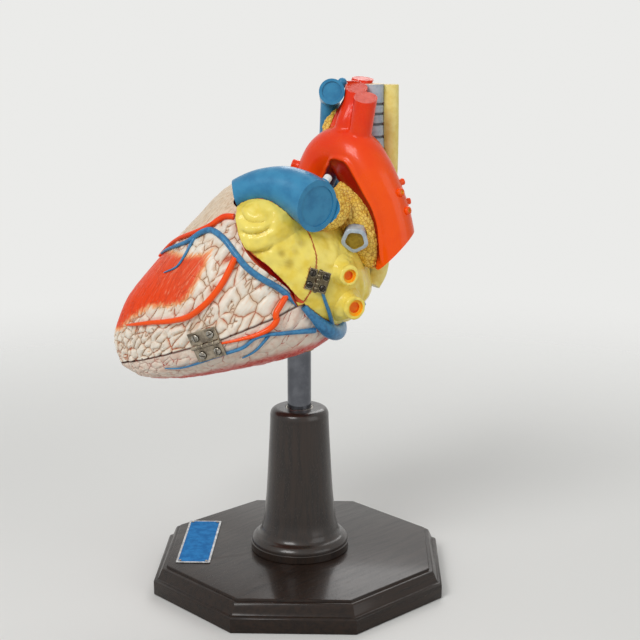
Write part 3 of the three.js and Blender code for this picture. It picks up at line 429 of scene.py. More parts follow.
class Graph:
    """A node tree with short calls for the nodes that the looks are made of."""

    def __init__(self, tree):
        self.tree = tree
        self.shades = tree.bl_idname == "ShaderNodeTree"

    def node(self, kind, settings=None, inputs=None):
        """A new node, with its settings and with values or links at its inputs."""
        made = self.tree.nodes.new(kind)
        for key, value in (settings or {}).items():
            setattr(made, key, value)
        for key, value in (inputs or {}).items():
            self.put(made.inputs[key], value)
        return made

    def put(self, socket, value):
        if isinstance(value, bpy.types.NodeSocket):
            self.tree.links.new(value, socket)
        else:
            socket.default_value = value

    def math(self, operation, *values, clamp=False):
        settings = {"operation": operation, "use_clamp": clamp}
        return self.node("ShaderNodeMath", settings, dict(enumerate(values))).outputs[0]

    def vector(self, operation, *values, scale=None):
        inputs = dict(enumerate(values))
        if scale is not None:
            inputs["Scale"] = scale
        made = self.node("ShaderNodeVectorMath", {"operation": operation}, inputs)
        return made.outputs["Value" if operation in ("DOT_PRODUCT", "LENGTH") else "Vector"]

    def part(self, vector, axis):
        """One coordinate of a vector."""
        return self.node("ShaderNodeSeparateXYZ", None, {0: vector}).outputs[axis]

    def noise(self, place, scale, detail=3.0, roughness=0.5, colour=False):
        inputs = {"Vector": place, "Scale": scale, "Detail": detail, "Roughness": roughness}
        made = self.node("ShaderNodeTexNoise", None, inputs)
        return made.outputs["Color" if colour else 0]

    def cells(self, place, scale, feature="DISTANCE_TO_EDGE"):
        """How far a place is from the edge of its cell, or from the middle with F1."""
        inputs = {"Vector": place, "Scale": scale}
        return self.node("ShaderNodeTexVoronoi", {"feature": feature}, inputs).outputs["Distance"]

    def ramp(self, value, low, high, to_low=0.0, to_high=1.0, smooth=True):
        """A value taken from one range to another, and held at its ends."""
        kind = "SMOOTHSTEP" if smooth else "LINEAR"
        inputs = {"Value": value, "From Min": low, "From Max": high, "To Min": to_low, "To Max": to_high}
        return self.node("ShaderNodeMapRange", {"interpolation_type": kind}, inputs).outputs[0]

    def mix(self, factor, a, b):
        """One colour over another."""
        inputs = {0: factor, 6: a, 7: b}
        return self.node("ShaderNodeMix", {"data_type": "RGBA"}, inputs).outputs[2]

    def value(self, name):
        """A value that the mesh holds at each vertex."""
        if self.shades:
            return self.node("ShaderNodeAttribute", {"attribute_name": name}).outputs["Fac"]
        return self.node("GeometryNodeInputNamedAttribute", {"data_type": "FLOAT"}, {"Name": name}).outputs[0]

    def spot(self):
        """Where a point lies on the piece at rest, in centimetres in the frame of the stand."""
        lies = self.node("ShaderNodeTexCoord").outputs["Object"]
        return self.vector("SCALE", lies, scale=100.0)

    def place(self):
        """Where a point lay before its relief, in centimetres in the heart's frame."""
        if self.shades:
            return self.node("ShaderNodeAttribute", {"attribute_name": "form"}).outputs["Vector"]
        settings = {"data_type": "FLOAT_VECTOR"}
        return self.node("GeometryNodeInputNamedAttribute", settings, {"Name": "form"}).outputs[0]

    def warped(self, place, scale, amount):
        """A place moved to and fro by noise."""
        shift = self.vector("SUBTRACT", self.noise(place, scale, 2.0, colour=True), (0.5, 0.5, 0.5))
        return self.vector("ADD", place, self.vector("SCALE", shift, scale=amount))

    def stretched(self, place, direction, factor):
        """A place whose distances along a direction count for less, so that a pattern grows long."""
        along = self.vector("DOT_PRODUCT", place, tuple(direction))
        offset = self.node("ShaderNodeCombineXYZ", None, {
            k: self.math("MULTIPLY", along, (factor - 1) * direction[k]) for k in range(3)})
        return self.vector("ADD", place, offset.outputs[0])


def srgb(*levels):
    """A colour of 0 to 255 levels as a linear one."""
    c = np.array(levels) / 255
    linear = np.where(c <= 0.04045, c / 12.92, ((c + 0.055) / 1.055) ** 2.4)
    return (*linear.tolist(), 1.0)


def material(name, look, coat=0.0, metallic=0.0, specular=0.14):
    """A material whose look gives colour, roughness and fine height from a node tree."""
    made = bpy.data.materials.new(name)
    made.use_nodes = True
    tree = made.node_tree
    shader = tree.nodes["Principled BSDF"]
    g = Graph(tree)
    colour, roughness, height = look(g)
    g.put(shader.inputs["Base Color"], colour)
    g.put(shader.inputs["Roughness"], roughness)
    shader.inputs["Metallic"].default_value = metallic
    shader.inputs["Specular IOR Level"].default_value = specular
    shader.inputs["Coat Weight"].default_value = coat
    shader.inputs["Coat Roughness"].default_value = 0.14
    if height is not None:
        bump = g.node("ShaderNodeBump", None, {"Strength": 1.0, "Distance": MM, "Height": height})
        g.put(shader.inputs["Normal"], bump.outputs["Normal"])
    return made


# Fat and muscle of the ventricles

fibre = unit((0.85, 0, 0.524))
cream = srgb(240, 232, 218)
cleft_shade_tan = srgb(212, 182, 150)
cleft_red = srgb(186, 70, 36)
cleft_brown = srgb(150, 96, 64)


def fat_place(g):
    """The place, drawn so that lobes are small near the apex and long toward the base."""
    place = g.place()
    x = g.part(place, 0)
    crowding = g.ramp(x, -18.5, -7.0, 1.9, 0.95, smooth=False)
    square = g.math("MULTIPLY", g.math("MULTIPLY", x, x), -0.019)
    run = g.math("ADD", g.math("MULTIPLY", x, 0.78), square)
    across = g.vector("SCALE", place, scale=crowding)
    drawn = g.node("ShaderNodeCombineXYZ", None, {0: run, 1: g.part(across, 1), 2: g.part(across, 2)})
    long = g.stretched(drawn.outputs[0], fibre, 0.5)
    return g.warped(g.vector("SCALE", long, scale=1.12), 0.9, 0.5)


def fat_lobes(g):
    """Height of the lobes of fat, 0 in the clefts and 1 on top, and the cleft's own line."""
    place = fat_place(g)
    wide = g.cells(place, 0.72)
    from_middle = g.ramp(g.cells(place, 0.72, "F1"), 0.35, 1.0, 0.42, 0.1, smooth=False)
    wide = g.math("MINIMUM", wide, from_middle)
    fine_place = g.warped(place, 1.3, 0.3)
    small = g.math("MULTIPLY", g.cells(fine_place, 1.5), 0.62)
    unsplit = g.ramp(g.noise(place, 0.5, 1.0), 0.54, 0.64, 0.5, 0.0)
    edge = g.math("MINIMUM", wide, g.math("ADD", small, unsplit))
    open_cleft = g.ramp(g.noise(place, 0.9, 1.0), 0.3, 0.52, 0.35, 1.0)
    slope = g.ramp(edge, 0.0, 0.4, 1.0, 0.0, smooth=False)
    height = g.math("SUBTRACT", 1.0, g.math("MULTIPLY", g.math("POWER", slope, 2.0), open_cleft))
    line = g.math("MULTIPLY", g.ramp(edge, 0.0, 0.034, 1.0, 0.0), open_cleft)
    return height, line


def fibres(g):
    """Fine streaks that run with the muscle."""
    place = g.warped(g.stretched(g.place(), fibre, 0.07), 0.8, 0.35)
    return g.noise(place, 6.0, 3.0, 0.6)


def fat_paint(g, height, line, mottle):
    """Cream on the lobes, with tan painted as shade toward the clefts, and rust-red brushed into some of
    them.
    """
    fat = g.mix(g.ramp(mottle, 0.35, 0.7, 0.0, 0.6), cream, srgb(232, 216, 198))
    # Painted shade: tan where the lobes fall away into the clefts
    fat = g.mix(g.ramp(height, 0.7, 0.1, 0.0, 0.7), fat, cleft_shade_tan)
    redness = g.ramp(g.noise(g.place(), 0.45, 2.0), 0.42, 0.62)
    brushed = g.math("MULTIPLY", g.ramp(height, 0.4, 0.05), redness)
    fat = g.mix(g.math("MULTIPLY", brushed, 0.6), fat, srgb(214, 112, 76))
    return g.mix(g.ramp(line, 0.2, 0.9, 0.0, 0.8), fat, g.mix(redness, cleft_brown, cleft_red))


def muscle_paint(g, streak, x):
    """Orange-red muscle, pinker and with pale streaks toward the base of the heart."""
    hot = g.mix(g.ramp(x, -15.0, -8.0), srgb(242, 68, 8), srgb(234, 84, 46))
    pale = g.math("MULTIPLY", g.ramp(streak, 0.54, 0.7), g.ramp(x, -16.0, -8.0, 0.2, 0.65))
    muscle = g.mix(pale, hot, srgb(242, 160, 124))
    return g.mix(g.ramp(streak, 0.45, 0.3, 0.0, 0.6), muscle, srgb(200, 40, 8))


def rear_paint(g, line, mottle):
    """Pinkish cream, with short red strokes that branch."""
    flesh = g.mix(g.ramp(mottle, 0.4, 0.7), srgb(234, 218, 202), srgb(224, 194, 176))
    strokes = g.math("MULTIPLY", line, g.ramp(g.noise(g.place(), 0.8, 2.0), 0.44, 0.56))
    return g.mix(g.ramp(strokes, 0.2, 0.8, 0.0, 0.9), flesh, srgb(192, 56, 40))


def muscle_look(g):
    """Fat, muscle, the smooth conus and the rear, each where the mesh is marked for it."""
    place = g.place()
    height, line = fat_lobes(g)
    streak = fibres(g)
    mottle = g.noise(place, 1.6, 3.0)
    fat = fat_paint(g, height, line, mottle)
    muscle = muscle_paint(g, streak, g.part(place, 0))
    ragged = g.math("ADD", g.value("patch"), g.math("MULTIPLY", g.math("SUBTRACT", streak, 0.5), 1.3))
    warm = g.mix(g.ramp(ragged, 0.05, 0.5, 0.0, 0.9), fat, srgb(248, 176, 112))
    body = g.mix(g.ramp(ragged, 0.3, 0.85), warm, muscle)
    beige = g.mix(g.ramp(streak, 0.32, 0.6), srgb(208, 180, 148), srgb(232, 214, 190))
    conus = g.value("conus")
    body = g.mix(g.ramp(g.math("ADD", conus, g.math("MULTIPLY", streak, 0.3)), 0.3, 0.8), body, beige)
    edge = g.math("MULTIPLY", g.value("rim"), g.ramp(streak, 0.35, 0.6, 0.5, 1.0))
    body = g.mix(edge, body, srgb(240, 128, 46))
    body = g.mix(g.value("rear"), body, rear_paint(g, line, mottle))
    band = g.mix(g.ramp(streak, 0.4, 0.65), srgb(206, 70, 66), srgb(232, 138, 124))
    body = g.mix(g.value("band"), body, band)
    body = g.mix(g.value("seam"), body, srgb(58, 30, 20))
    fine = g.math("ADD", g.math("MULTIPLY", streak, 0.16), g.math("MULTIPLY", mottle, 0.1))
    fine = g.math("SUBTRACT", fine, g.math("MULTIPLY", line, 0.35))
    return body, g.ramp(mottle, 0.3, 0.7, 0.34, 0.46), fine


def fine_brushing(g, place, depth=0.08, scale=14.0):
    """Height of the finest marks of the brush."""
    return g.math("MULTIPLY", g.noise(place, scale, 2.0), depth)


def plain_look(base, shade, scale):
    """Brushed paint with soft changes of tone."""
    def look(g):
        place = g.place()
        tone = g.noise(place, scale, 4.0, 0.55)
        colour = g.mix(g.ramp(tone, 0.35, 0.72), srgb(*base), srgb(*shade))
        return colour, g.ramp(tone, 0.3, 0.7, 0.3, 0.42), fine_brushing(g, place)
    return look


def artery_look(g):
    """Orange on the descending part, redder up the branches, and painted shade in dark red inside the arch.
    """
    place = g.place()
    tone = g.noise(place, 0.8, 4.0, 0.55)
    cloud = g.math("MULTIPLY", g.math("SUBTRACT", tone, 0.5), 0.8)
    redness = g.math("ADD", g.ramp(g.part(place, 2), 6.0, 17.0), cloud)
    colour = g.mix(redness, srgb(250, 84, 4), srgb(236, 50, 10))
    # Painted shade: dark red where the inside of the arch is marked low
    colour = g.mix(g.math("MULTIPLY", g.value("low"), 0.9), colour, srgb(132, 10, 8))
    return colour, g.ramp(tone, 0.3, 0.7, 0.26, 0.36), fine_brushing(g, place, 0.05)


def atrium_look(g):
    """Yellow, with ochre painted as shade in the creases and hollows, and the red line at the edge of the
    door.
    """
    place = g.place()
    tone = g.noise(place, 0.55, 3.0, 0.5)
    low = g.value("low")
    colour = g.mix(g.ramp(tone, 0.4, 0.68), srgb(246, 226, 112), srgb(234, 206, 76))
    # Painted shade: ochre where the creases under the folds and the hollows are marked low
    colour = g.mix(g.ramp(low, 0.15, 0.9, 0.0, 0.85), colour, srgb(158, 128, 26))
    colour = g.mix(g.value("seam"), colour, srgb(150, 30, 14))
    return colour, g.ramp(tone, 0.3, 0.7, 0.26, 0.38), fine_brushing(g, place, scale=10.0)


def grain_place(g):
    """The place, drawn so that the grains are uneven."""
    return g.warped(g.place(), 1.5, 0.18)


def grains(g):
    """Height of a mass of small round nodes."""
    near = g.cells(grain_place(g), 2.7, "F1")
    edge = g.cells(grain_place(g), 2.7)
    return g.math("SUBTRACT", 1.0, g.math("MULTIPLY", near, near)), edge


def lymph_look(g):
    """Golden grains, with brown painted as shade between them."""
    height, edge = grains(g)
    tone = g.noise(g.place(), 1.2, 2.0)
    colour = g.mix(g.ramp(tone, 0.35, 0.7), srgb(246, 212, 104), srgb(236, 192, 72))
    # Painted shade: brown toward the edges of the grains, where they sink between one another
    colour = g.mix(g.ramp(edge, 0.14, 0.0, 0.0, 0.75), colour, srgb(176, 118, 30))
    return colour, 0.42, None


def airway_look(g):
    """Blue-grey, with painted shade in the grooves between the rings."""
    place = g.place()
    tone = g.noise(place, 2.0, 4.0, 0.55)
    colour = g.mix(g.ramp(tone, 0.35, 0.72), srgb(186, 198, 208), srgb(160, 174, 188))
    # Painted shade: dark grey in the grooves that the rings' relief marks low
    colour = g.mix(g.ramp(g.value("low"), 0.2, 0.9, 0.0, 0.9), colour, srgb(88, 92, 96))
    return colour, g.ramp(tone, 0.3, 0.7, 0.3, 0.4), fine_brushing(g, place)


def wood_look(grain):
    """Very dark wood with open pores along its grain, under a satin lacquer."""
    def look(g):
        place = g.warped(g.spot(), 0.12, 1.6)
        rings = g.noise(g.stretched(place, grain, 0.05), 2.2, 3.0, 0.6)
        pores = g.noise(g.stretched(place, grain, 0.06), 22.0, 2.0, 0.55)
        open_pore = g.math("MULTIPLY", g.ramp(pores, 0.6, 0.72), g.ramp(rings, 0.42, 0.58, 0.15, 1.0))
        colour = g.mix(g.ramp(rings, 0.35, 0.65), srgb(42, 30, 23), srgb(28, 20, 16))
        colour = g.mix(g.math("MULTIPLY", open_pore, 0.5), colour, srgb(84, 68, 56))
        height = g.math("MULTIPLY", open_pore, -0.14)
        return colour, g.ramp(rings, 0.3, 0.7, 0.3, 0.38), height
    return look


def metal_look(base, worn, rough, scale, depth=0.03):
    """Metal with tarnish in clouds and fine scratches."""
    def look(g):
        place = g.spot()
        cloud = g.noise(place, scale, 5.0, 0.62)
        scratch = g.noise(g.stretched(place, unit((0.8, 0.2, 0.56)), 0.06), 46.0, 2.0)
        colour = g.mix(g.ramp(cloud, 0.36, 0.64), srgb(*base), srgb(*worn))
        return colour, g.ramp(cloud, 0.3, 0.7, *rough), g.math("MULTIPLY", scratch, depth)
    return look


# Plain paints: colour, shade, how fine the change of tone is, and the coat of varnish
plain_paints = {
    "right_atrium": ((104, 124, 178), (80, 96, 154), 1.4, 0.2),
    "vein": ((62, 140, 182), (50, 122, 166), 0.8, 0.25),
    "small_vein": ((70, 138, 184), (58, 108, 152), 2.5, 0.2),
    "chamber": ((212, 84, 56), (178, 50, 32), 1.2, 0.2),
    "cut_face": ((222, 108, 72), (204, 78, 48), 1.8, 0.0),
    "ring": ((164, 18, 12), (116, 10, 8), 1.5, 0.2),
    "valve": ((238, 228, 200), (224, 206, 170), 2.0, 0.2),
    "artery_end": ((218, 66, 34), (200, 50, 24), 1.5, 0.0),
    "knob_end": ((246, 172, 60), (236, 140, 40), 2.0, 0.2),
    "vein_bore": ((254, 196, 44), (252, 172, 26), 1.6, 0.2),
    "vein_core": ((250, 128, 14), (242, 92, 10), 1.6, 0.2),
    "airway_top": ((226, 208, 170), (206, 184, 142), 3.0, 0.0),
    "airway_end": ((166, 140, 50), (138, 112, 34), 3.0, 0.2),
    "gullet": ((248, 232, 146), (236, 214, 116), 1.2, 0.2),
    "gullet_end": ((222, 198, 112), (198, 168, 88), 3.0, 0.0),
    "ligament": ((242, 240, 234), (216, 222, 226), 4.0, 0.2),
}

# Metals: colour, tarnish, roughness, how fine the clouds are, and how far it is metal
metals = {
    "bare_silver": ((196, 196, 196), (150, 150, 150), (0.28, 0.45), 1.6, 0.9),
    "worn_nickel": ((116, 106, 94), (170, 158, 140), (0.24, 0.36), 1.4, 0.95),
    "worn_bronze": ((196, 182, 150), (214, 204, 178), (0.28, 0.45), 1.6, 0.9),
    "dark_bronze": ((84, 74, 58), (112, 102, 82), (0.28, 0.45), 1.6, 0.85),
    "dark_steel": ((84, 80, 74), (54, 50, 46), (0.2, 0.32), 3.0, 0.95),
    "plain_steel": ((176, 172, 164), (120, 112, 100), (0.2, 0.34), 3.0, 0.95),
    # Near-black inside screw slots, screw holes and pin bores: dirt and painted shade
    "slot_dirt": ((42, 34, 28), (58, 48, 38), (0.6, 0.7), 1.6, 0.3),
    "dull_brass": ((176, 150, 92), (150, 124, 70), (0.28, 0.45), 1.6, 0.9),
}

enamel_look = metal_look((30, 124, 190), (24, 104, 168), (0.45, 0.55), 1.2)
chrome_look = metal_look((108, 110, 116), (94, 96, 102), (0.06, 0.12), 0.7, 0.004)
paints = {
    "muscle": material("painted_muscle", muscle_look, 0.12),
    "atrium": material("painted_atrium", atrium_look, 0.3),
    "artery": material("painted_artery", artery_look, 0.3),
    "airway": material("painted_airway", airway_look, 0.2),
    "lymph": material("painted_lymph", lymph_look, 0.2),
    "base_wood": material("base_wood", wood_look(unit((0.72, 0.69, 0))), 0.3),
    "turned_wood": material("turned_wood", wood_look(vec(0, 0, 1)), 0.45, specular=0.3),
    "enamel": material("blue_enamel", enamel_look, specular=0.05),
    "chrome": material("chrome_plate", chrome_look, metallic=1.0),
}
for name, (base, shade, scale, coat) in plain_paints.items():
    paints[name] = material("painted_" + name, plain_look(base, shade, scale), coat)
for name, (base, worn, rough, scale, metallic) in metals.items():
    paints[name] = material(name, metal_look(base, worn, rough, scale), metallic=metallic)


# Forms of the heart, each lofted along x, with its reach at each station

def level(value):
    """The same value at each station."""
    return lambda s: value + 0 * s


apex_x = -205
ventricles = {
    "power": 2.2, "centre_y": level(0), "centre_z": level(0),
    "up": profile([(apex_x, 0), (-202, 24.6), (-188.6, 43), (-168.6, 62), (-134.7, 81), (-98.6, 98.5),
                   (-63, 114), (-36, 126), (-21, 129.4), (0, 131), (45, 120)], True),
    "down": profile([(apex_x, 0), (-199, 11), (-190, 21), (-163, 33.5), (-148, 38.5), (-121, 44.5),
                     (-90, 49.5), (-60, 55.5), (-39, 58.5), (-8, 61), (12, 58.5), (45, 46)], True),
    "near": profile([(apex_x, 0), (-197, 11), (-185, 24), (-165.7, 40), (-145, 54), (-124.4, 66),
                     (-100.8, 80.3), (-87, 87), (-60.5, 90.4), (-31, 90.1), (-14, 84), (1, 75),
                     (45, 50)], True),
    "far": profile([(apex_x, 0), (-197, 16), (-185, 29), (-165, 45), (-125, 66), (-87, 80),
                    (-60, 85), (-30, 86), (0, 79), (45, 58)], True),
}
atria = {
    "power": 2.4, "centre_y": level(0),
    "centre_z": profile([(-45, 70), (-20, 62), (0, 50), (20, 36), (40, 25), (60, 18), (79, 8)]),
    "up": profile([(-45, 30), (-30, 52), (0, 70), (20, 68), (40, 60), (60, 50), (72, 36), (79, 4)]),
    "down": profile([(-45, 60), (-20, 97), (0, 104), (20, 85), (40, 68), (60, 54), (72, 38), (79, 4)]),
    "near": profile([(-45, 50), (-30, 74), (0, 84), (20, 84), (30, 81), (40, 77), (50, 70), (62, 56),
                     (72, 38), (79, 4)]),
    "far": profile([(-45, 50), (0, 74), (30, 76), (50, 68), (65, 50), (79, 4)]),
}
left_ventricle = {
    "power": 2.1,
    "centre_y": profile([(-172, -4), (-150, -10), (-120, -22), (-80, -34), (-40, -38), (40, -38)]),
    "centre_z": profile([(-172, 0), (-120, 5), (-40, 10), (40, 8)]),
    "up": profile([(-172, 2), (-150, 22), (-120, 38), (-80, 50), (-40, 55), (0, 50), (40, 36)]),
    "down": profile([(-172, 2), (-150, 16), (-120, 26), (-80, 34), (-40, 38), (40, 30)]),
    "near": profile([(-172, 2), (-150, 18), (-120, 26), (-80, 34), (-40, 35), (0, 30), (40, 20)]),
    "far": profile([(-172, 2), (-150, 14), (-120, 20), (-80, 30), (-40, 34), (0, 30), (40, 20)]),
}
right_ventricle = {
    "power": 2.2,
    "centre_y": profile([(-140, 20), (-110, 26), (-70, 34), (-30, 40), (40, 42)]),
    "centre_z": profile([(-140, 18), (-70, 22), (-30, 24), (40, 16)]),
    "up": profile([(-140, 2), (-110, 36), (-70, 60), (-30, 68), (0, 62), (40, 40)]),
    "down": profile([(-140, 2), (-110, 28), (-70, 46), (-30, 50), (40, 40)]),
    "near": profile([(-140, 2), (-110, 10), (-70, 17), (-30, 20), (40, 18)]),
    "far": profile([(-140, 2), (-110, 24), (-70, 34), (-30, 34), (40, 26)]),
}


def crowded(start, end, count):
    """Stations that crowd toward the rounded end of a body."""
    return start + (end - start) * ((np.arange(count) + 0.35) / (count - 0.65)) ** 2


# Hinge axes, and the turned faces by which each moving half clears the rest
lid_pivot = vec(-100.8, -83, 0)
lid_axis = unit((0.8985, -0.438, 0))
door_pivot = vec(27.5, -85, 17.5)
door_axis = unit((0.636, 0, 0.772))
door_left = vec(-door_axis[2], 0, door_axis[0])
lid_end = [(0, 88), (46, 87.5), (51, 85.5), (58, 76.5), (71, 67.5), (84, 62.5), (95, 60.5),
           (128, 60.5), (145, 58.5), (153, 55.5), (165, 46), (178, 34), (190, 20), (215, 0)]
door_edge = [(0, -25), (10.5, -23.8), (25, -14.7), (53, 0.4), (69.5, 5.5), (80.6, 12),
             (87.1, 18), (94.4, 29.5), (101.5, 44.5), (104.8, 50), (111.7, 61.8), (118, 68), (135, 80)]
door_heel = [(13, 3), (18, 5.5), (32, 15.8), (47, 25.7), (61.6, 32.4), (76.3, 33.2), (90, 30.4), (135, 30.4)]
door_back_angle = math.radians(37)
door_foot = -27
far_along = 260

groove_normal = unit((0.978, 0, 0.208))
groove_at = vec(5.6, 0, 0) @ groove_normal
plate_face = groove_at + plate_thickness
origin = vec(0, 0, 0)
up = vec(0, 0, 1)
down = -up


def rounded(outline):
    """A smooth curve through the corners of an outline."""
    return through([(r, h, 0) for r, h in outline], 4)[0][:, :2]


def lid_inside(clearance, paint):
    """What lies on the lid's side of its turned end face."""
    outline = [(max(r, 0), h + clearance) for r, h in rounded(lid_end)]
    closed = [(0, outline[0][1]), *outline[1:], (outline[-1][0], -far_along), (0, -far_along)]
    return turned(closed, lid_pivot, lid_axis, paint)


def above_door_edge(clearance, paint):
    """What lies over the turned lower edge of the door."""
    outline = [(max(r, 0), h - clearance) for r, h in rounded(door_edge)]
    closed = [(0, outline[0][1]), *outline[1:], (outline[-1][0], far_along), (0, far_along)]
    return turned(closed, door_pivot, door_axis, paint)


def heel_body(clearance, paint):
    """The turned heel of the door, round its hinge pin."""
    outline = [(r + clearance, h) for h, r in rounded(door_heel)]
    start, end = outline[0][1] - clearance, outline[-1][1]
    return turned([(0, start), (outline[0][0], start), *outline[1:], (0, end)], door_pivot, door_axis, paint)


def in_front(clearance, paint):
    """What lies toward the viewer of the door's back face, on the left of its pin."""
    back = door_left * math.sin(door_back_angle) + vec(0, -math.cos(door_back_angle), 0)
    faces = [beyond(n, door_pivot @ n - clearance, paint) for n in (back, door_left)]
    return trimmed(*faces)


# Routes of the great vessels, drawn upright, with their radii
aorta_route = [upright(-8, 2, 38), upright(-2, 9, 52), upright(5, 14, 70), upright(14, 16, 103),
               upright(20.5, 14, 124), upright(31, 8, 140), upright(45, 0, 146), upright(59, -10, 141),
               upright(70, -18, 127), upright(80.5, -24, 110), upright(88, -27, 96), upright(94, -28, 78),
               upright(98.5, -28, 50), upright(101, -28, 30)]
aorta_radii = [16, 17, 19, 20.5, 21.5, 23.5, 26, 27, 26, 24, 22, 21.3, 22.2, 22.5]
aorta_end = (upright(0.724, 0, -0.69), upright(98.5, -28, 46.8))
carotid = ([upright(47, -1, 150), upright(49, -4, 172), upright(56.5, -1, 194), upright(60.5, 0.5, 222)],
           [15, 11.5, 11.3, 11.6])
subclavian = ([upright(61, -12, 146), upright(62.5, -16, 165), upright(65.5, -19.5, 186),
               upright(68.5, -21, 208)], [15, 11.8, 11.6, 12.2])
brachiocephalic = ([upright(38, 8, 146), upright(45, 14, 172), upright(58, 24, 196), upright(69, 31, 222)],
                   [14, 10.8, 10.6, 11])
branch_ends = [(upright(0.05, -0.2, 1), upright(60, 0, 216.4)),
               (upright(0.05, -0.42, 1), upright(67, -20, 201.5)),
               (upright(0.1, -0.12, 1), upright(68, 30, 217.2))]
intercostals = [(upright(87, -24, 129), upright(94.5, -20, 132.5), 3.8),
                (upright(98, -23, 114), upright(107.5, -19.5, 117), 3.6),
                (upright(95, -33, 106), upright(104, -42.8, 109), 4.4),
                (upright(104, -26, 96), upright(114, -24.5, 97.5), 3.6),
                (upright(101, -32, 87.5), upright(111.8, -41, 90), 4.4)]
coronary_stub = (upright(10, 20, 124), upright(-7, 23, 130), 5.5)
trunk_route = [vec(-34, -36, 116), vec(-20, -42, 121), vec(-6, -47, 123), vec(11, -52, 121.5),
               vec(30, -58, 113.5), vec(44, -66, 101.5), vec(52, -75, 91), vec(61, -91, 77)]
trunk_radii = [14.2, 15, 15.8, 17.5, 21, 23.5, 24.5, 25]
disc_normal = upright(0.6, -0.75, -0.1)
disc_centre = vec(55.5, -80, 85.5)
disc_radius = 20.5
ligament = ([(60, -66, 96), (71, -61, 104), (79, -57, 111)], [4.8, 4.4, 3.8])
cava = ([upright(33.5, 34, 200), upright(33, 42, 168), upright(32, 49, 130), upright(32, 48, 96),
         upright(32, 44, 70)], [10, 10.5, 11, 12, 12.5])
brachial = ([upright(33.6, 42, 196), upright(33.8, 18, 203), upright(34, -16, 207.5)], [11, 12.4, 13.3])
brachial_end = upright(34, -6, 206.5)
brachial_direction = upright(0, -1, 0.08)
brachial_recess_radius = 10
azygos = ([upright(36, 30, 194), upright(42, 27, 206), upright(45.5, 25.4, 213.6)], [4.6, 4.6, 4.8])
inferior_cava = ([upright(50, 42, 10), upright(54, 42, -14), upright(60, 42, -30)], [14, 13.5, 13.5])
right_artery = ([upright(36, -30, 93), upright(46, 5, 94), upright(52, 48, 89), upright(52, 84, 86)],
                [13, 13, 12.5, 13])
right_veins = [([(52, 30, 22), (62, 52, 20), (72, 74, 17)], [10, 10, 10.6]),
               ([(48, 30, -10), (58, 52, -11), (68, 74, -14)], [9.5, 9.5, 10])]
left_veins = [(vec(45, -48, 15.5), vec(58.5, -81, 9), 10.6), (vec(38, -46, -17), vec(51.5, -76, -24.5), 12)]
vein_rim = 3.6
vein_bore_depth = 3.2
trachea_route = ([upright(76, 18, 214), upright(76.5, 21, 170), upright(78, 20, 128), upright(77, 17, 108)],
                 [12, 11.8, 11.8, 12.5])
trachea_top = upright(76, 18, 212.5)
trachea_gaps = [192.1, 182.1, 171.5, 158.4, 145.3, 132.5, 120]
trachea_gap_depth = 1.5
left_bronchus = ([upright(74, 12, 108), upright(66, -12, 88), upright(58, -38, 69), upright(56, -57, 62)],
                 [10.5, 10.5, 11, 13.5])
bronchus_recess_radius = 9.3
right_bronchus = ([upright(78, 24, 104), upright(72, 48, 84), upright(66, 76, 72)], [10.5, 10, 10.3])
gullet = ([upright(94.5, 24, 214), upright(95, 25, 160), upright(94, 25, 110), upright(88, 21, 50),
           upright(84, 16.5, 18), upright(77, 11, 3)], [9.5, 9.5, 9.5, 10, 10, 9])
gullet_top = upright(94, 24, 211.5)
gullet_flatness = 0.85
sinus = ([(4, -76.5, -3), (8, -73.5, -15), (12.5, -66, -29), (17, -54, -41), (21, -34, -50),
          (24, -6, -54), (26, 20, -51)], [3.4, 4.4, 6.5, 8, 8, 7.5, 6])
oblique_route = ([(27, -80, 6), (26, -78, -3), (25, -72, -16), (23, -60, -34), (21, -46, -45)],
                 [1.5, 1.7, 1.9, 2.1, 2.6])


# Finishing: relief, paint marks, and the move into the stand's frame

def positions(mesh):
    """The place of each vertex."""
    points = np.zeros(len(mesh.vertices) * 3, np.float32)
    mesh.vertices.foreach_get("co", points)
    return points.reshape(-1, 3).astype(float)


def largest_body(mesh):
    """Drops the slivers that a cut leaves beside a piece."""
    work = bmesh.new()
    work.from_mesh(mesh)
    bodies, seen = [], set()
    for vertex in work.verts:
        if vertex in seen:
            continue
        body, edge = {vertex}, [vertex]
        while edge:
            for link in edge.pop().link_edges:
                for other in link.verts:
                    if other not in body:
                        body.add(other)
                        edge.append(other)
        seen |= body
        bodies.append(body)
    largest = max(bodies, key=len)
    if len(bodies) > 1:
        spare = [v for v in work.verts if v not in largest]
        bmesh.ops.delete(work, geom=spare, context="VERTS")
        work.to_mesh(mesh)
    work.free()


def face_values(mesh, name, kind=np.int32, width=1):
    """One property of each face of a mesh."""
    values = np.zeros(len(mesh.polygons) * width, kind)
    mesh.polygons.foreach_get(name, values)
    return values.reshape(-1, width) if width > 1 else values


def painted_corners(mesh, paint):
    """Which faces are in a paint, how many corners each face has, and the vertex of each corner."""
    slots = [k for k, m in enumerate(mesh.materials) if m == paint]
    corner = np.zeros(len(mesh.loops), np.int32)
    mesh.loops.foreach_get("vertex_index", corner)
    painted = np.isin(face_values(mesh, "material_index"), slots)
    return painted, face_values(mesh, "loop_total"), corner


def outer_normals(mesh, paint):
    """Normals of the faces in one paint, averaged at their vertices, and which vertices have one."""
    painted, total, corner = painted_corners(mesh, paint)
    area = face_values(mesh, "area", np.float32)
    weighted = face_values(mesh, "normal", np.float32, 3) * (area * painted)[:, None]
    per_corner = np.repeat(weighted, total, axis=0)
    size = len(mesh.vertices)
    summed = np.column_stack([np.bincount(corner, per_corner[:, k], size) for k in range(3)])
    length = np.linalg.norm(summed, axis=1)
    return summed / np.maximum(length, 1e-9)[:, None], length > 0


def at_edge(mesh, paint):
    """Which vertices lie where a paint ends."""
    painted, total, corner = painted_corners(mesh, paint)
    inside = np.repeat(painted, total)
    size = len(mesh.vertices)
    return (np.bincount(corner, inside, size) > 0) & (np.bincount(corner, ~inside, size) > 0)


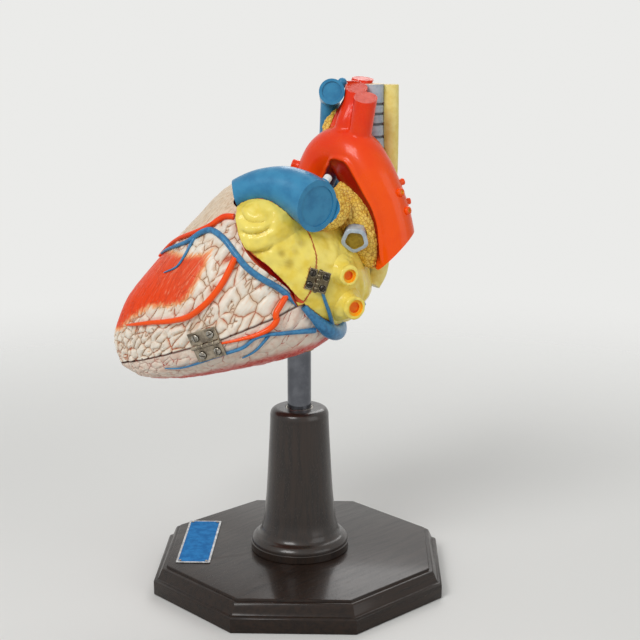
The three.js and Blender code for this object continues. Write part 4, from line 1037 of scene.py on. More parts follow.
def set_values(mesh, name, values, kind="FLOAT"):
    """Keeps a value for each vertex of a mesh, under a name that the looks can read."""
    layer = mesh.attributes.get(name) or mesh.attributes.new(name, kind, "POINT")
    key = "vector" if kind == "FLOAT_VECTOR" else "value"
    layer.data.foreach_set(key, np.asarray(values, np.float32).ravel())


def measured(mesh, field):
    """The value of a node field at each vertex of a mesh."""
    tree = bpy.data.node_groups.new("measure", "GeometryNodeTree")
    tree.interface.new_socket("Geometry", in_out="INPUT", socket_type="NodeSocketGeometry")
    tree.interface.new_socket("Geometry", in_out="OUTPUT", socket_type="NodeSocketGeometry")
    g = Graph(tree)
    start, end = g.node("NodeGroupInput"), g.node("NodeGroupOutput")
    store = g.node("GeometryNodeStoreNamedAttribute", {"data_type": "FLOAT", "domain": "POINT"}, {
        "Geometry": start.outputs[0], "Name": "measured", "Value": field(g)})
    g.put(end.inputs[0], store.outputs[0])
    holder = in_workshop(mesh)
    holder.modifiers.new("measure", "NODES").node_group = tree
    graph = bpy.context.evaluated_depsgraph_get()
    values = np.zeros(len(mesh.vertices), np.float32)
    holder.evaluated_get(graph).data.attributes["measured"].data.foreach_get("value", values)
    bpy.data.objects.remove(holder)
    bpy.data.node_groups.remove(tree)
    return values.astype(float)


def nearest_sample(points, route):
    """Which of a route's close points is nearest to each point, and how far off it is."""
    nearest = np.zeros(len(points), int)
    least = np.full(len(points), np.inf)
    for k, sample in enumerate(route):
        away = ((points - sample) ** 2).sum(1)
        nearest = np.where(away < least, k, nearest)
        least = np.minimum(least, away)
    return nearest, np.sqrt(least)


def faded(value, full, none):
    """1 up to full, 0 from none on, and smooth between them."""
    t = np.clip((value - none) / (full - none), 0, 1)
    return t * t * (3 - 2 * t)


def as_stood(points):
    """Points of the stand, in metres."""
    return points * MM


def shown(name, data):
    """An object in the scene that holds the given data."""
    made = bpy.data.objects.new(name, data)
    bpy.context.scene.collection.objects.link(made)
    return made


def finish(name, solid, body, slot, node=None, relief=None, paint=None, crease=38.0, move=to_world):
    """Makes a solid of the workshop a piece that rides on a body, in place of a node if one is named."""
    mesh = solid.data.copy()
    mesh.name = name
    largest_body(mesh)
    points = positions(mesh)
    set_values(mesh, "form", points * 0.1, "FLOAT_VECTOR")
    if relief:
        normals, outer = outer_normals(mesh, paint or mesh.materials[0])
        points = points + normals * (relief(mesh, points, normals) * outer)[:, None]
    mesh.vertices.foreach_set("co", move(points).astype(np.float32).ravel())
    mesh.update()
    for layer in [a.name for a in mesh.attributes if a.name in ("UVMap", "measured")]:
        mesh.attributes.remove(mesh.attributes[layer])
    mesh.shade_smooth()
    mesh.set_sharp_from_angle(angle=math.radians(crease))
    made = shown(name, mesh)
    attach(made, body)
    if node:
        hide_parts(node)


def fixed(name, solid, slot, node=None, relief=None, paint=None, crease=38.0):
    """A piece of the part of the heart that neither leaf carries."""
    finish(name, solid, "heart_core", slot, node, relief, paint, crease)


# Rooms that the pieces of the heart leave for one another
cut_paint = paints["cut_face"]
lid_room = trimmed(lid_inside(sweep_gap, cut_paint), beyond(up, -gap / 2, cut_paint))
rear_room = trimmed(beyond(down, -gap / 2, cut_paint), beyond(-groove_normal, -groove_at - gap, cut_paint))
door_front = in_front(sweep_gap, cut_paint)
door_swing = trimmed(door_front, beyond(door_axis, door_pivot @ door_axis + door_foot, cut_paint))
heel_room = heel_body(sweep_gap, cut_paint)
door_region = trimmed(joined(in_front(0, cut_paint), heel_body(0, cut_paint)), above_door_edge(0, cut_paint))
lid_region = trimmed(lid_inside(0, cut_paint), beyond(up, gap / 2, cut_paint))
rear_region = trimmed(beyond(down, gap / 2, cut_paint), beyond(-groove_normal, -groove_at, cut_paint))


class Hinge:
    """A small hinge: its pin's axis, and the directions across and out of its leaves."""

    def __init__(self, name, pivot, axis, swing, length, leaf_width, moves, paint, screw_paint,
                 head_radius, screw_offset):
        self.name, self.pivot, self.axis, self.swing = name, pivot, axis, swing
        self.length, self.leaf_width = length, leaf_width
        self.moves, self.paint = moves, paint
        self.screw_paint, self.head_radius, self.screw_offset = screw_paint, head_radius, screw_offset
        outward = np.cross(swing, axis)
        self.outward = outward if outward[1] < 0 else -outward

    def at(self, along, across, out):
        """A place by its distances along the pin, across the leaves and out of them."""
        return self.pivot + self.axis * along + self.swing * across + self.outward * out

    def box(self, start, end, paint):
        """A box between two places given in the hinge's own directions."""
        centre = self.at(*[(a + b) / 2 for a, b in zip(start, end)])
        sizes = [abs(b - a) for a, b in zip(start, end)]
        return block(centre, (self.axis, self.swing, self.outward), sizes, paint)

    def rod(self, radius, start, end, paint, segments=40):
        """A rod along the pin's axis."""
        return rod(radius, self.at(start, 0, 0), self.at(end, 0, 0), paint, segments)

    def space(self):
        """The room that the leaves and the knuckles need in the castings."""
        half = self.length / 2 + gap
        reach = leaf_start + self.leaf_width + gap
        heads = half + seat_gap + pin_head_height
        leaves = self.box((-half, -reach, leaf_back - gap), (half, reach, 12), cut_paint)
        return joined(leaves, self.rod(knuckle_radius + 2 * gap, -heads, heads, cut_paint))

    def screw_places(self, side):
        """Where the two screws of one leaf stand on its face."""
        across = side * (leaf_start + self.leaf_width * 0.52)
        return [self.at(along, across, leaf_front) for along in (-self.screw_offset, self.screw_offset)]

    def leaf(self, side, knuckles):
        """A leaf with its knuckles, bored for the pin and the screws."""
        half, pitch = self.length / 2, self.length / knuckle_count
        end = leaf_start + self.leaf_width
        body = self.box((-half, side * leaf_start, leaf_back), (half, side * end, leaf_front), self.paint)
        for k in knuckles:
            start = -half + k * pitch + (gap / 2 if k else 0)
            stop = -half + (k + 1) * pitch - (gap / 2 if k < knuckle_count - 1 else 0)
            web = self.box((start, side * 0.3 * knuckle_radius, leaf_back),
                           (stop, side * 1.2 * leaf_start, leaf_front), self.paint)
            body = joined(body, web, self.rod(knuckle_radius, start, stop, self.paint))
        holes = [rod(screw_shank_radius + seat_gap, place - self.outward * 4, place + self.outward * 4,
                     paints["slot_dirt"], 24) for place in self.screw_places(side)]
        holes += [rod(self.head_radius + 0.45, place - self.outward * 0.25, place + self.outward * 4,
                      paints["slot_dirt"], 48) for place in self.screw_places(side)]
        return cut(body, self.rod(pin_radius + 0.15, -half - 1, half + 1, paints["slot_dirt"]), *holes)

    def pin(self):
        """The pin, with a low rounded head at each end."""
        half = self.length / 2 + seat_gap
        end = half + pin_head_height
        head = [(pin_head_radius, 0.35), (0.8 * pin_head_radius, 0.75), (0, pin_head_height)]
        outline = [(0, -end), *[(r, -half - h) for r, h in head[-2::-1]], (pin_head_radius, -half),
                   (pin_radius, -half), (pin_radius, half), (pin_head_radius, half),
                   *[(r, half + h) for r, h in head[:-1]], (0, end)]
        return turned(outline, self.pivot, self.axis, self.paint, 32)

    def screw(self, place, turn):
        """A round-headed screw, with its slot at a turn to the pin."""
        seat, radius = place + self.outward * seat_gap, self.head_radius
        dome = [(radius * math.cos(a), 0.35 + (screw_head_height - 0.35) * math.sin(a))
                for a in np.linspace(0, math.pi / 2, 9)[:-1]]
        outline = [(0, -screw_length), (0.4, -screw_length + 0.3), (screw_shank_radius, -screw_length + 2),
                   (screw_shank_radius, 0), (radius - 0.15, 0), (radius, 0.15), *dome, (0, screw_head_height)]
        body = turned(outline, seat, self.outward, self.screw_paint, 48)
        along = self.axis * math.cos(turn) + np.cross(self.outward, self.axis) * math.sin(turn)
        directions = (along, np.cross(self.outward, along), self.outward)
        slot = block(seat + self.outward * screw_head_height, directions,
                     (3 * radius, screw_slot, 2 * screw_slot), paints["slot_dirt"])
        return cut(body, slot)


screw_shank_radius = 1.25
screw_length = 8.5
leaf_back = -knuckle_radius
leaf_front = leaf_back + leaf_thickness
leaf_start = knuckle_radius + 0.4
hinges = [Hinge("lid_hinge", lid_pivot, lid_axis, up, lid_hinge_length, lid_leaf_width, "ventricle_lid",
                paints["worn_nickel"], paints["plain_steel"], 4.2, 9.2),
          Hinge("door_hinge", door_pivot, door_axis, door_left, door_hinge_length, door_leaf_width,
                "atrial_door", paints["dark_bronze"], paints["dark_steel"], 3.3, 6.0)]
hinge_spaces = [hinge.space() for hinge in hinges]


# Ventricles: the shells of the lid and of the rear half

skin_paint, chamber = paints["muscle"], paints["chamber"]
ventricle_body = loft(ventricles, crowded(apex_x, 45, 230), 460, skin_paint)
left_cavity = loft(left_ventricle, np.linspace(-172, 40, 70), 90, chamber)
right_cavity = loft(right_ventricle, np.linspace(-140, 40, 60), 90, chamber)
outflow = tube([vec(-74, 30, 66), vec(-46, 2, 92), vec(-30, -24, 101), vec(-4, -46, 112)],
               [16, 15, 13, 13], chamber)


def surface_of(solid):
    """A solid's surface, on which the nearest place to a point can be found."""
    mesh = solid.data
    return BVHTree.FromPolygons([v.co for v in mesh.vertices], [p.vertices for p in mesh.polygons])


surface = surface_of(ventricle_body)


def laid_on(tree, route, lift):
    """A route's smooth curve, laid on a surface and lifted off it along its normal."""
    points, places = evenly(*through(route), 1.5)
    laid = []
    for point in points:
        place, normal, _, _ = tree.find_nearest(Vector(point))
        laid.append(np.array(place) + np.array(normal) * lift)
    return np.array(laid), places


def relief_vessel(tree, route, radii, paint, sides=16):
    """A vessel that runs over a surface, half sunk in it."""
    points, places = laid_on(tree, route, 0.35 * max(radii))
    radius = profile(list(enumerate(radii)))(places)
    return pipe(points, radius, sides, paint)


great_vein = [(-117, 0, 91), (-98, -26, 95), (-81, -41, 97), (-63, -47, 101), (-53, -53, 100),
              (-43, -67, 89), (-37, -77, 71), (-32, -83, 57), (-24, -85, 43), (-12, -82, 26),
              (-1, -76, 3), (4, -74, -4)]
great_vein_radii = [1.3, 1.8, 2.2, 2.8, 3.1, 3.3, 3.3, 3.3, 3.3, 3.3, 3.3, 3.3]
vein_branch = ([(-70, -44, 101), (-77, -46, 94), (-86, -51, 88), (-99, -52, 80),
                (-116, -41, 77)], [1.8, 1.6, 1.4, 1.1, 0.6])
lid_arteries = [
    ([(-26, -58, 105), (-36, -52, 107), (-52, -49, 104), (-71, -39, 102), (-100, -10, 97),
      (-122, 10, 88)], [3.2, 3.1, 2.9, 2.6, 2.0, 1.3]),
    ([(-39, -78, 69), (-61, -83, 51), (-83, -83, 39), (-105, -75, 32), (-126, -61, 32),
      (-149, -47, 36), (-168, -32, 38), (-177, -24, 39)], [3.3, 3.2, 3.2, 3.1, 2.8, 2.3, 1.7, 0.9]),
    ([(-8, -80, 15), (-17, -85, 9), (-23, -89, 4), (-26, -89, -4)], [2.9, 3.2, 3.2, 3.2]),
]
rear_arteries = [
    ([(-24, -89, 4), (-25, -89, -2), (-34, -90, -7), (-50, -90, -8), (-66, -90, -6),
      (-86, -88, -3)], [3.2, 3.2, 2.9, 2.3, 1.7, 1.0]),
]
rear_veins = [
    ([(4, -66, -32), (-15, -81, -22), (-36, -89, -13), (-52, -90, -11), (-66, -88, -15),
      (-90, -84, -15), (-113, -70, -17), (-122, -64, -18), (-138, -54, -18), (-155, -45, -14)],
     [3.0, 2.3, 1.9, 1.8, 1.8, 1.6, 1.3, 1.1, 0.9, 0.6]),
    ([(-37, -89, -13), (-48, -88, -20), (-58, -85, -25), (-73, -82, -28)], [1.7, 1.5, 1.2, 0.7]),
]
patch_outline = [(-125, 100), (-85, 88), (-70, 84), (-59, 85), (-66, 76), (-77, 67), (-87, 58), (-97, 50),
                 (-109, 45), (-126, 46), (-143, 50), (-160, 46), (-172, 42), (-188, 34), (-215, 40),
                 (-190, 110)]
conus_foot = [(-135, 88), (-100, 101), (-71, 105), (-52, 108), (-36, 110), (-20, 108)]
lobe_depth = 3.4
lobe_level = 0.85


def inside_outline(points, outline):
    """Distance to a closed outline in the plane of x and z, above 0 within it."""
    p = points[:, [0, 2]]
    nearest = np.full(len(p), np.inf)
    within = np.zeros(len(p), bool)
    corners = np.array(outline, float)
    for a, b in zip(corners, np.roll(corners, -1, axis=0)):
        t = np.clip(((p - a) @ (b - a)) / ((b - a) @ (b - a)), 0, 1)
        nearest = np.minimum(nearest, np.linalg.norm(p - a - t[:, None] * (b - a), axis=1))
        crosses = (a[1] > p[:, 1]) != (b[1] > p[:, 1])
        at = a[0] + (p[:, 1] - a[1]) * (b[0] - a[0]) / np.where(b[1] == a[1], 1e-9, b[1] - a[1])
        within ^= crosses & (p[:, 0] < at)
    return np.where(within, nearest, -nearest)


def ventricle_relief(beds):
    """Lobes of fat, sunk beds for the vessels and smooth muscle, with the marks for their paint."""
    def relief(mesh, points, normals):
        x, y, z = points.T
        patch = faded(inside_outline(points, patch_outline), 9, -5) * faded(y, 20, 60)
        foot = profile(conus_foot)(x)
        conus = faded(z - foot, 3, -2) * faded(x, -150, -165) * faded(y, 30, 60)
        rim = conus * faded(y, 22, 0) * faded(x, -60, -30)
        rear = faded(z, -1, 0)
        band = faded(normals[:, 2], -0.88, -0.72) * rear
        seam = faded(np.abs(z), 0.5, 1.3)
        bed = np.zeros(len(points))
        for route, radius in beds:
            bed = np.maximum(bed, faded(nearest_sample(points, route)[1], radius * 0.8, radius + 2.5))
        marks = {"patch": patch, "conus": conus, "rim": rim, "rear": rear, "band": band, "seam": seam}
        for name, value in marks.items():
            set_values(mesh, name, value)
        height = measured(mesh, lambda g: fat_lobes(g)[0])
        streak = measured(mesh, fibres)
        tip = faded(x, -201, -188)
        depth = lobe_depth * (1 - patch) * (1 - 0.8 * conus)
        for flatter in (rear, bed, tip):
            depth = depth * (1 - 0.6 * flatter)
        grain = (streak - 0.5) * (1.2 * patch + 0.5 * conus)
        return (height - lobe_level) * depth + grain - 0.4 * bed - 0.4 * seam - 0.25 * tip
    return relief


def papillary(root, tip, radius):
    """A muscle that stands in a chamber and narrows to its tip."""
    middle = (root + tip) / 2
    return tube([root, middle, tip], [radius, 0.8 * radius, 0.35 * radius], chamber, sides=24)


lid_papillaries = [papillary(vec(-112, -30, 38), vec(-66, -36, 22), 8),
                   papillary(vec(-92, 46, 62), vec(-50, 44, 36), 6)]
rear_papillaries = [papillary(vec(-112, -30, -24), vec(-66, -36, -9), 8),
                    papillary(vec(-84, 40, -28), vec(-46, 42, -10), 6)]

plumb = upright(0, 0, 1)
socket_wall = 3.5
socket_radius = rod_radius + rod_fit + socket_wall
underside_below_heart = 66
rod_into_heart = 38
rod_top = rod_into_heart - underside_below_heart
socket_top = rod_top + socket_wall
socket_bottom = 2 - underside_below_heart
boss = rod(socket_radius + 3, plumb * (-underside_below_heart - 60), plumb * (socket_top + 3), chamber)
socket_room = rod(socket_radius + 0.25, plumb * (-underside_below_heart - 60), plumb * (socket_top + 0.25),
                  cut_paint)
sinus_body = tube(*sinus, paints["small_vein"], sides=32)
sinus_room = tube(*sinus, cut_paint, sides=32, grow=gap)

lid_beds = [(laid_on(surface, great_vein, 0)[0], 3.8), (laid_on(surface, vein_branch[0], 0)[0], 2)]
lid_beds += [(laid_on(surface, route, 0)[0], 3.2) for route, _ in lid_arteries]
rear_beds = [(laid_on(surface, route, 0)[0], 2.6) for route, _ in rear_arteries + rear_veins]

lid_shell = joined(cut(ventricle_body, left_cavity, right_cavity, outflow), *lid_papillaries)
lid_shell = cut(trimmed(lid_shell, lid_region), *hinge_spaces)
finish("ventricle_front", lid_shell, "ventricle_lid", "muscle", "ventricle_front_shell",
       ventricle_relief(lid_beds), skin_paint)

cavities = cut(joined(left_cavity, right_cavity), boss)
muscles = [trimmed(muscle, beyond(down, gap / 2, cut_paint)) for muscle in rear_papillaries]
rear_shell = joined(trimmed(cut(ventricle_body, cavities), rear_region), *muscles)
rear_shell = cut(rear_shell, socket_room, sinus_room, *hinge_spaces)
fixed("ventricle_rear", rear_shell, "muscle", "ventricle_rear_shell", ventricle_relief(rear_beds), skin_paint)

lid_vein = relief_vessel(surface, great_vein, great_vein_radii, paints["small_vein"])
finish("great_cardiac_vein", trimmed(lid_vein, lid_region), "ventricle_lid", "vein")
lid_branch = relief_vessel(surface, *vein_branch, paints["small_vein"])
finish("front_vein_branch", lid_branch, "ventricle_lid", "vein")
for name, routes, paint, side_region, body, slot in (
        ("front_artery_", lid_arteries, "artery", lid_region, "ventricle_lid", "artery"),
        ("rear_artery_", rear_arteries, "artery", rear_region, "heart_core", "artery"),
        ("rear_vein_", rear_veins, "small_vein", rear_region, "heart_core", "vein")):
    for k, (route, radii) in enumerate(routes):
        vessel = trimmed(relief_vessel(surface, route, radii, paints[paint]), side_region)
        finish(name + str(k + 1), cut(vessel, *hinge_spaces), body, slot)
fixed("coronary_sinus_vein", sinus_body, "vein", "coronary_sinus")


# Great vessels, each drawn as its body and as the room that its neighbours leave for it

def melted(solid, voxel, rounds, paint):
    """One skin over joined solids, with the creases between them filled and smoothed."""
    made = bpy.data.objects.new(solid.name, solid.data)
    workshop.objects.link(made)
    skinned = made.modifiers.new("skin", "REMESH")
    skinned.mode = "VOXEL"
    skinned.voxel_size = voxel
    smoothed = made.modifiers.new("smooth", "SMOOTH")
    smoothed.factor = 0.5
    smoothed.iterations = rounds
    applied(made)
    made.data.materials.clear()
    made.data.materials.append(paint)
    return made


def capped(solid, direction, place, paint):
    """A solid cut square to a direction at a place."""
    return cut(solid, beyond(direction, unit(direction) @ place, paint))


def repainted(solid, paint):
    """A copy of a solid whose cuts take another paint."""
    mesh = solid.data.copy()
    mesh.materials.clear()
    return in_workshop(mesh, paint)


def recess(centre, direction, radius, depth, paint):
    """The space of a round recess in a cut end."""
    out = unit(direction)
    return rod(radius, centre - out * depth, centre + out * 8, paint, 64)


def vessels(routes, paint, grow=0.0):
    """Tubes along several routes, joined."""
    return joined(*[tube(route, radii, paint, 2.0, 56, grow) for route, radii in routes])


def body_and_room(vessel, paint):
    """A vessel's tube, and the room that its neighbours leave for it."""
    return tube(*vessel, paint), tube(*vessel, cut_paint, grow=gap)


def lumen(route, radii, count):
    """The bore of the first stretch of a great vessel."""
    return tube(route[:count], [r - vessel_wall for r in radii[:count]], chamber, sides=48)


artery_paint, vein_paint, airway_paint = paints["artery"], paints["vein"], paints["airway"]
knobs = [*intercostals, coronary_stub]
artery_routes = [(aorta_route, aorta_radii), carotid, subclavian, brachiocephalic]
artery_ends = [aorta_end, *branch_ends]

# The arch's line, and the directions square to it: to the viewer and to the inside of the arch
arch_inside = upright(62, -10, 92)
arch_ridge_height = 2.0
arch_bulge_height = 3.5
arch_line, _ = evenly(*through(aorta_route[3:]), 2)
arch_along = carried_frames(arch_line)[2]
arch_front = vec(0, -1, 0) + arch_along * arch_along[:, 1:2]
arch_front /= np.linalg.norm(arch_front, axis=1)[:, None]
arch_inward = np.cross(arch_along, arch_front)
arch_inward *= np.sign(np.einsum("ij,ij->i", arch_inward, arch_inside - arch_line))[:, None]


def arch_relief(mesh, points, normals):
    """A raised line along the inside of the arch, with a hollow inside of it that is marked for painted
    shade.
    """
    nearest, away = nearest_sample(points, arch_line)
    offset = points - arch_line[nearest]
    facing = np.einsum("ij,ij->i", offset, arch_inward[nearest])
    front = np.einsum("ij,ij->i", offset, arch_front[nearest])
    lean = np.degrees(np.arctan2(front, facing))
    run = nearest / len(arch_line)
    ridge = np.interp(run, (0.15, 0.3, 0.42, 0.55, 0.7, 0.9), (76, 73, 66, 58, 50, 45))
    reach = faded(run, 0.9, 0.97) * faded(-run, -0.06, -0.01) * faded(away, 30, 34)
    inside = faded(lean, ridge - 5, ridge - 1) * faded(-lean, 70, 100) * reach
    # The hollow is marked low, for the dark red painted shade inside the arch
    set_values(mesh, "low", inside)
    bulge = faded(lean, 30, 60) * faded(-lean, 30, 60) * np.exp(-((run - 0.45) / 0.1) ** 2)
    crest = np.exp(-((lean - ridge) / 4.5) ** 2)
    return (arch_ridge_height * crest + arch_bulge_height * bulge) * reach


def knob(start, end, radius):
    """A short cut branch that flares from the vessel, with a rounded rim and a dish in its end."""
    length = np.linalg.norm(end - start)
    outline = [(0, 0), (1.5 * radius, 0), (1.2 * radius, 0.45 * length), (radius - 0.3, length - 3),
               (radius, length - 1.8), (radius - 0.2, length - 0.8), (radius - 0.9, length - 0.15),
               (radius - 1.5, length), (0, length)]
    body = turned(outline, start, end - start, artery_paint, 40)
    return cut(body, recess(end, end - start, 0.5 * radius, 1.4, paints["knob_end"]))


def cut_ends(solid, paint):
    """The vessels cut square at their ends."""
    for direction, place in artery_ends:
        solid = cut(solid, rod(34, place, place + unit(direction) * 90, paint))
    return solid


aorta = melted(vessels(artery_routes, artery_paint), 1.1, 8, artery_paint)
aorta = joined(cut_ends(aorta, paints["artery_end"]), *[knob(*place) for place in knobs])
aorta_room = joined(cut_ends(vessels(artery_routes, cut_paint, gap), cut_paint),
                    *[rod(radius + gap, start, end, cut_paint, 32) for start, end, radius in knobs])
trunk = capped(tube(trunk_route, trunk_radii, vein_paint, 1.6, 96), disc_normal, disc_centre, vein_paint)
trunk_room = tube(trunk_route, trunk_radii, cut_paint, 2.0, 72, gap)
trunk_room = capped(trunk_room, disc_normal, disc_centre, cut_paint)
trunk_lumen = lumen(trunk_route, trunk_radii, 6)
aorta_lumen = lumen(aorta_route, aorta_radii, 4)
ligament_root, ligament_tip = vec(58, -67, 95), vec(77.5, -58.5, 106.5)
ligament_length = np.linalg.norm(ligament_tip - ligament_root)
ligament_collar_end = 0.72 * ligament_length
ligament_body = turned([(0, 3), (4.2, 3), (4.2, ligament_length - 2.8), (3.7, ligament_length - 1.3),
                        (2.4, ligament_length - 0.3), (0, ligament_length)],
                       ligament_root, ligament_tip - ligament_root, paints["ligament"], 48)
ligament_room = tube(*ligament, cut_paint, 1.0, 32, gap)


def cava_solid(paint, grow):
    """The upper hollow vein with its cut arm, and the azygos vein that ends in a ball."""
    arm = capped(tube(*brachial, paint, 2.0, 56, grow), brachial_direction, brachial_end, paint)
    return joined(tube(*cava, paint, 2.0, 56, grow), arm, tube(*azygos, paint, 1.5, 32, grow),
                  ellipsoid(azygos[0][-1], np.full(3, azygos[1][-1] + grow), paint, 40))


cava_body, cava_room = cava_solid(vein_paint, 0), cava_solid(cut_paint, gap)
lower_cava, lower_cava_room = body_and_room(inferior_cava, vein_paint)
right_artery_body, right_artery_room = body_and_room(right_artery, vein_paint)
right_vein_bodies, right_vein_rooms = zip(*[body_and_room(vein, paints["atrium"]) for vein in right_veins])
right_bronchus_body, right_bronchus_room = body_and_room(right_bronchus, airway_paint)
left_bronchus_room = tube(*left_bronchus, cut_paint, grow=gap)
trachea_body = capped(tube(*trachea_route, airway_paint, 0.7, 72), plumb, trachea_top, paints["airway_top"])
trachea_room = capped(tube(*trachea_route, cut_paint, grow=gap), plumb, trachea_top, cut_paint)
gullet_body = tube(*gullet, paints["gullet"], flatness=gullet_flatness)
gullet_body = capped(gullet_body, plumb, gullet_top, paints["gullet_end"])
gullet_room = tube(*gullet, cut_paint, grow=gap, flatness=gullet_flatness)
gullet_room = capped(gullet_room, plumb, gullet_top, cut_paint)


def airway_relief(mesh, points, normals):
    """Rings of gristle, with narrow grooves between them that are marked low for painted shade."""
    rise = points @ plumb
    groove = np.zeros(len(points))
    for height in trachea_gaps:
        groove = np.maximum(groove, faded(np.abs(rise - height), 0.6, 1.9))
    set_values(mesh, "low", groove)
    return -trachea_gap_depth * groove


# Atria: the fixed halves, and the door with the left auricle

atrium_paint = paints["atrium"]
auricle_centre, auricle_radii = vec(-2, -52, 80), vec(40, 33, 38)


def atria_solid(paint):
    """Both atria with the left auricle, before they are parted."""
    return joined(loft(atria, crowded(79, -45, 120), 300, paint),
                  ellipsoid(auricle_centre, auricle_radii, paint, 200))


def plate_space(clearance, paint):
    """The room of the plate of valves, between the atria and the ventricles."""
    halves = [loft(ventricles, np.linspace(-60, 45, 50), 200, paint, plate_inset - clearance),
              loft(atria, crowded(79, -45, 50), 200, paint, plate_inset - clearance)]
    return trimmed(*halves, beyond(-groove_normal, -plate_face - clearance, paint))


def along_groove(centre, radius, paint):
    """A round hole through the plate of valves."""
    return rod(radius, centre - groove_normal * 45, centre + groove_normal * 45, paint, 96)


atria_body = atria_solid(atrium_paint)
left_atrium_cavity = ellipsoid(vec(30, -38, 22), vec(36, 35, 42), chamber, 96)
right_atrium_cavity = ellipsoid(vec(36, 42, 18), vec(32, 26, 44), chamber, 96)
mitral_centre, mitral_radius = vec(8, -37, 8), 19
tricuspid_centre, tricuspid_radius = vec(19.5, 42, 10), 19
plate_room = plate_space(gap, cut_paint)

plate = cut(plate_space(0, paints["ring"]), lid_room, rear_room,
            trimmed(door_front, above_door_edge(sweep_gap, cut_paint)), heel_room, sinus_room, aorta_room,
            *hinge_spaces, along_groove(mitral_centre, mitral_radius + 0.25, paints["ring"]),
            along_groove(tricuspid_centre, tricuspid_radius + 0.25, paints["ring"]))
fixed("plate_of_valves", plate, "ring", "valve_plate")

upper_heel = trimmed(heel_room, beyond(door_axis, door_pivot @ door_axis + 52, cut_paint))
fixed_atria = cut(atria_body, lid_room, rear_room, plate_room, upper_heel, *hinge_spaces, aorta_room,
                  sinus_room)
left_half = beyond(vec(0, -1, 0), gap / 2 - septum_y, cut_paint)
right_half = beyond(vec(0, 1, 0), gap / 2 + septum_y, cut_paint)

# Folds of the auricle and hollows beside it, by x and z: a fold hangs over its crease, and a hollow has
# its width and depth too
auricle_folds = [
    ([(-15.3, 112.7), (-15.2, 103), (-11.9, 98.4), (0.3, 93.3), (8, 92.5)], 2.2),
    ([(-27, 95), (-18.5, 87.9), (-7.3, 84.2), (1.7, 85.2), (9.3, 87)], 3.2),
    ([(-31, 76), (-21.5, 68.4), (-11.4, 65.9), (-2.9, 66.9), (4, 69)], 3.2),
]
auricle_hollows = [(5.2, 55.7, 5.2, 3.0), (7.4, 43.3, 7, 3.0), (29, 57.7, 6.5, 2.4), (-2, 45.4, 5, 1.8),
                   (19.5, 51.9, 5.5, 2.2), (16, 33, 6, 1.8), (4.2, 71.3, 4, 0.8), (18, 66, 6, 1.6)]


def beside_line(points, corners):
    """Distance from a line through corners, seen along y and above 0 over it, and the place along it."""
    route = evenly(*through([(x, z, 0) for x, z in corners], 12), 1.0)[0][:, :2]
    along = np.gradient(route, axis=0)
    along /= np.linalg.norm(along, axis=1)[:, None]
    flat = points[:, [0, 2]]
    nearest, away = nearest_sample(flat, route)
    offset = flat - route[nearest]
    side = np.sign(along[nearest, 0] * offset[:, 1] - along[nearest, 1] * offset[:, 0])
    return side * away, nearest / (len(route) - 1)


def atrium_relief(mesh, points, normals):
    """Soft lumps, the folds of the auricle, the hollows beside it, and the red line at its edge."""
    low = np.zeros(len(points))
    rise = np.zeros(len(points))
    near = faded(points[:, 1], -40, -30)
    for corners, depth in auricle_folds:
        away, run = beside_line(points, corners)
        ends = near * faded(np.abs(run - 0.5), 0.26, 0.5)
        over = np.exp(-((away - 4.5) / 3.6) ** 2)
        under = np.exp(-((away + 0.6) / np.where(away > -0.6, 1.3, 3.4)) ** 2)
        rise += depth * ends * (0.5 * over - 0.9 * under)
        low = np.maximum(low, 0.5 * ends * np.exp(-((away + 0.6) / 1.1) ** 2))
    for x, z, width, depth in auricle_hollows:
        away = np.hypot(points[:, 0] - x, points[:, 2] - z)
        hollow = near * np.exp(-(away / width) ** 2)
        rise -= depth * hollow
        low = np.maximum(low, 0.22 * depth * hollow)
    edge = at_edge(mesh, mesh.materials[0]).astype(float)
    for base, tip, radius in left_veins:
        edge *= faded(np.linalg.norm(points - tip, axis=1), radius + 8, radius + 5)
    # The creases under the folds and the hollows are marked low, for the ochre painted shade
    set_values(mesh, "low", low)
    set_values(mesh, "seam", 0.75 * edge)
    lumps = measured(mesh, lambda g: g.noise(g.place(), 0.42, 2.0, 0.45))
    finer = measured(mesh, lambda g: g.noise(g.place(), 1.15, 1.0, 0.4))
    return (lumps - 0.55) * 5.0 + (finer - 0.5) * 3.0 * near + rise


def vein_stub(base, tip, radius):
    """A vein's cut end: a neck that swells into the atrium, and a thick rounded rim."""
    length = np.linalg.norm(tip - base)
    shoulder = [(radius + 9, length - 28), (radius + 7, length - 21), (radius + 3, length - 14),
                (radius - 0.2, length - 9), (radius - 0.9, length - 6.2), (radius - 0.1, length - 4.2),
                (radius, length - 2.6), (radius - 0.4, length - 1.0), (radius - 1.4, length - 0.1),
                (radius - 2.2, length)]
    outline = [(0, 0), (radius + 9, 0), *rounded(shoulder), (0, length)]
    return turned(outline, base, tip - base, atrium_paint, 96)


vein_stubs = [vein_stub(*vein) for vein in left_veins]
stub_bores = []
for base, tip, radius in left_veins:
    bore_radius = radius - vein_rim
    stub_bores += [recess(tip, tip - base, bore_radius, vein_bore_depth, paints["vein_bore"]),
                   recess(tip, tip - base, 0.66 * bore_radius, vein_bore_depth + 1.6, paints["vein_core"])]
left_atrium = cut(joined(trimmed(fixed_atria, left_half), *vein_stubs), plate_room, *stub_bores,
                  left_atrium_cavity, door_swing, upper_heel, *hinge_spaces, right_artery_room)
fixed("left_atrium", left_atrium, "atrium", "left_atrium_shell", atrium_relief, atrium_paint)
right_atria = cut(atria_solid(paints["right_atrium"]), lid_room, rear_room, plate_room, heel_room,
                  *hinge_spaces, aorta_room, sinus_room)
right_atrium = cut(trimmed(right_atria, right_half), right_atrium_cavity, door_swing, cava_room,
                   lower_cava_room, right_artery_room, *right_vein_rooms)
fixed("right_atrium", right_atrium, "right_atrium", "right_atrium_shell", atrium_relief,
      paints["right_atrium"])

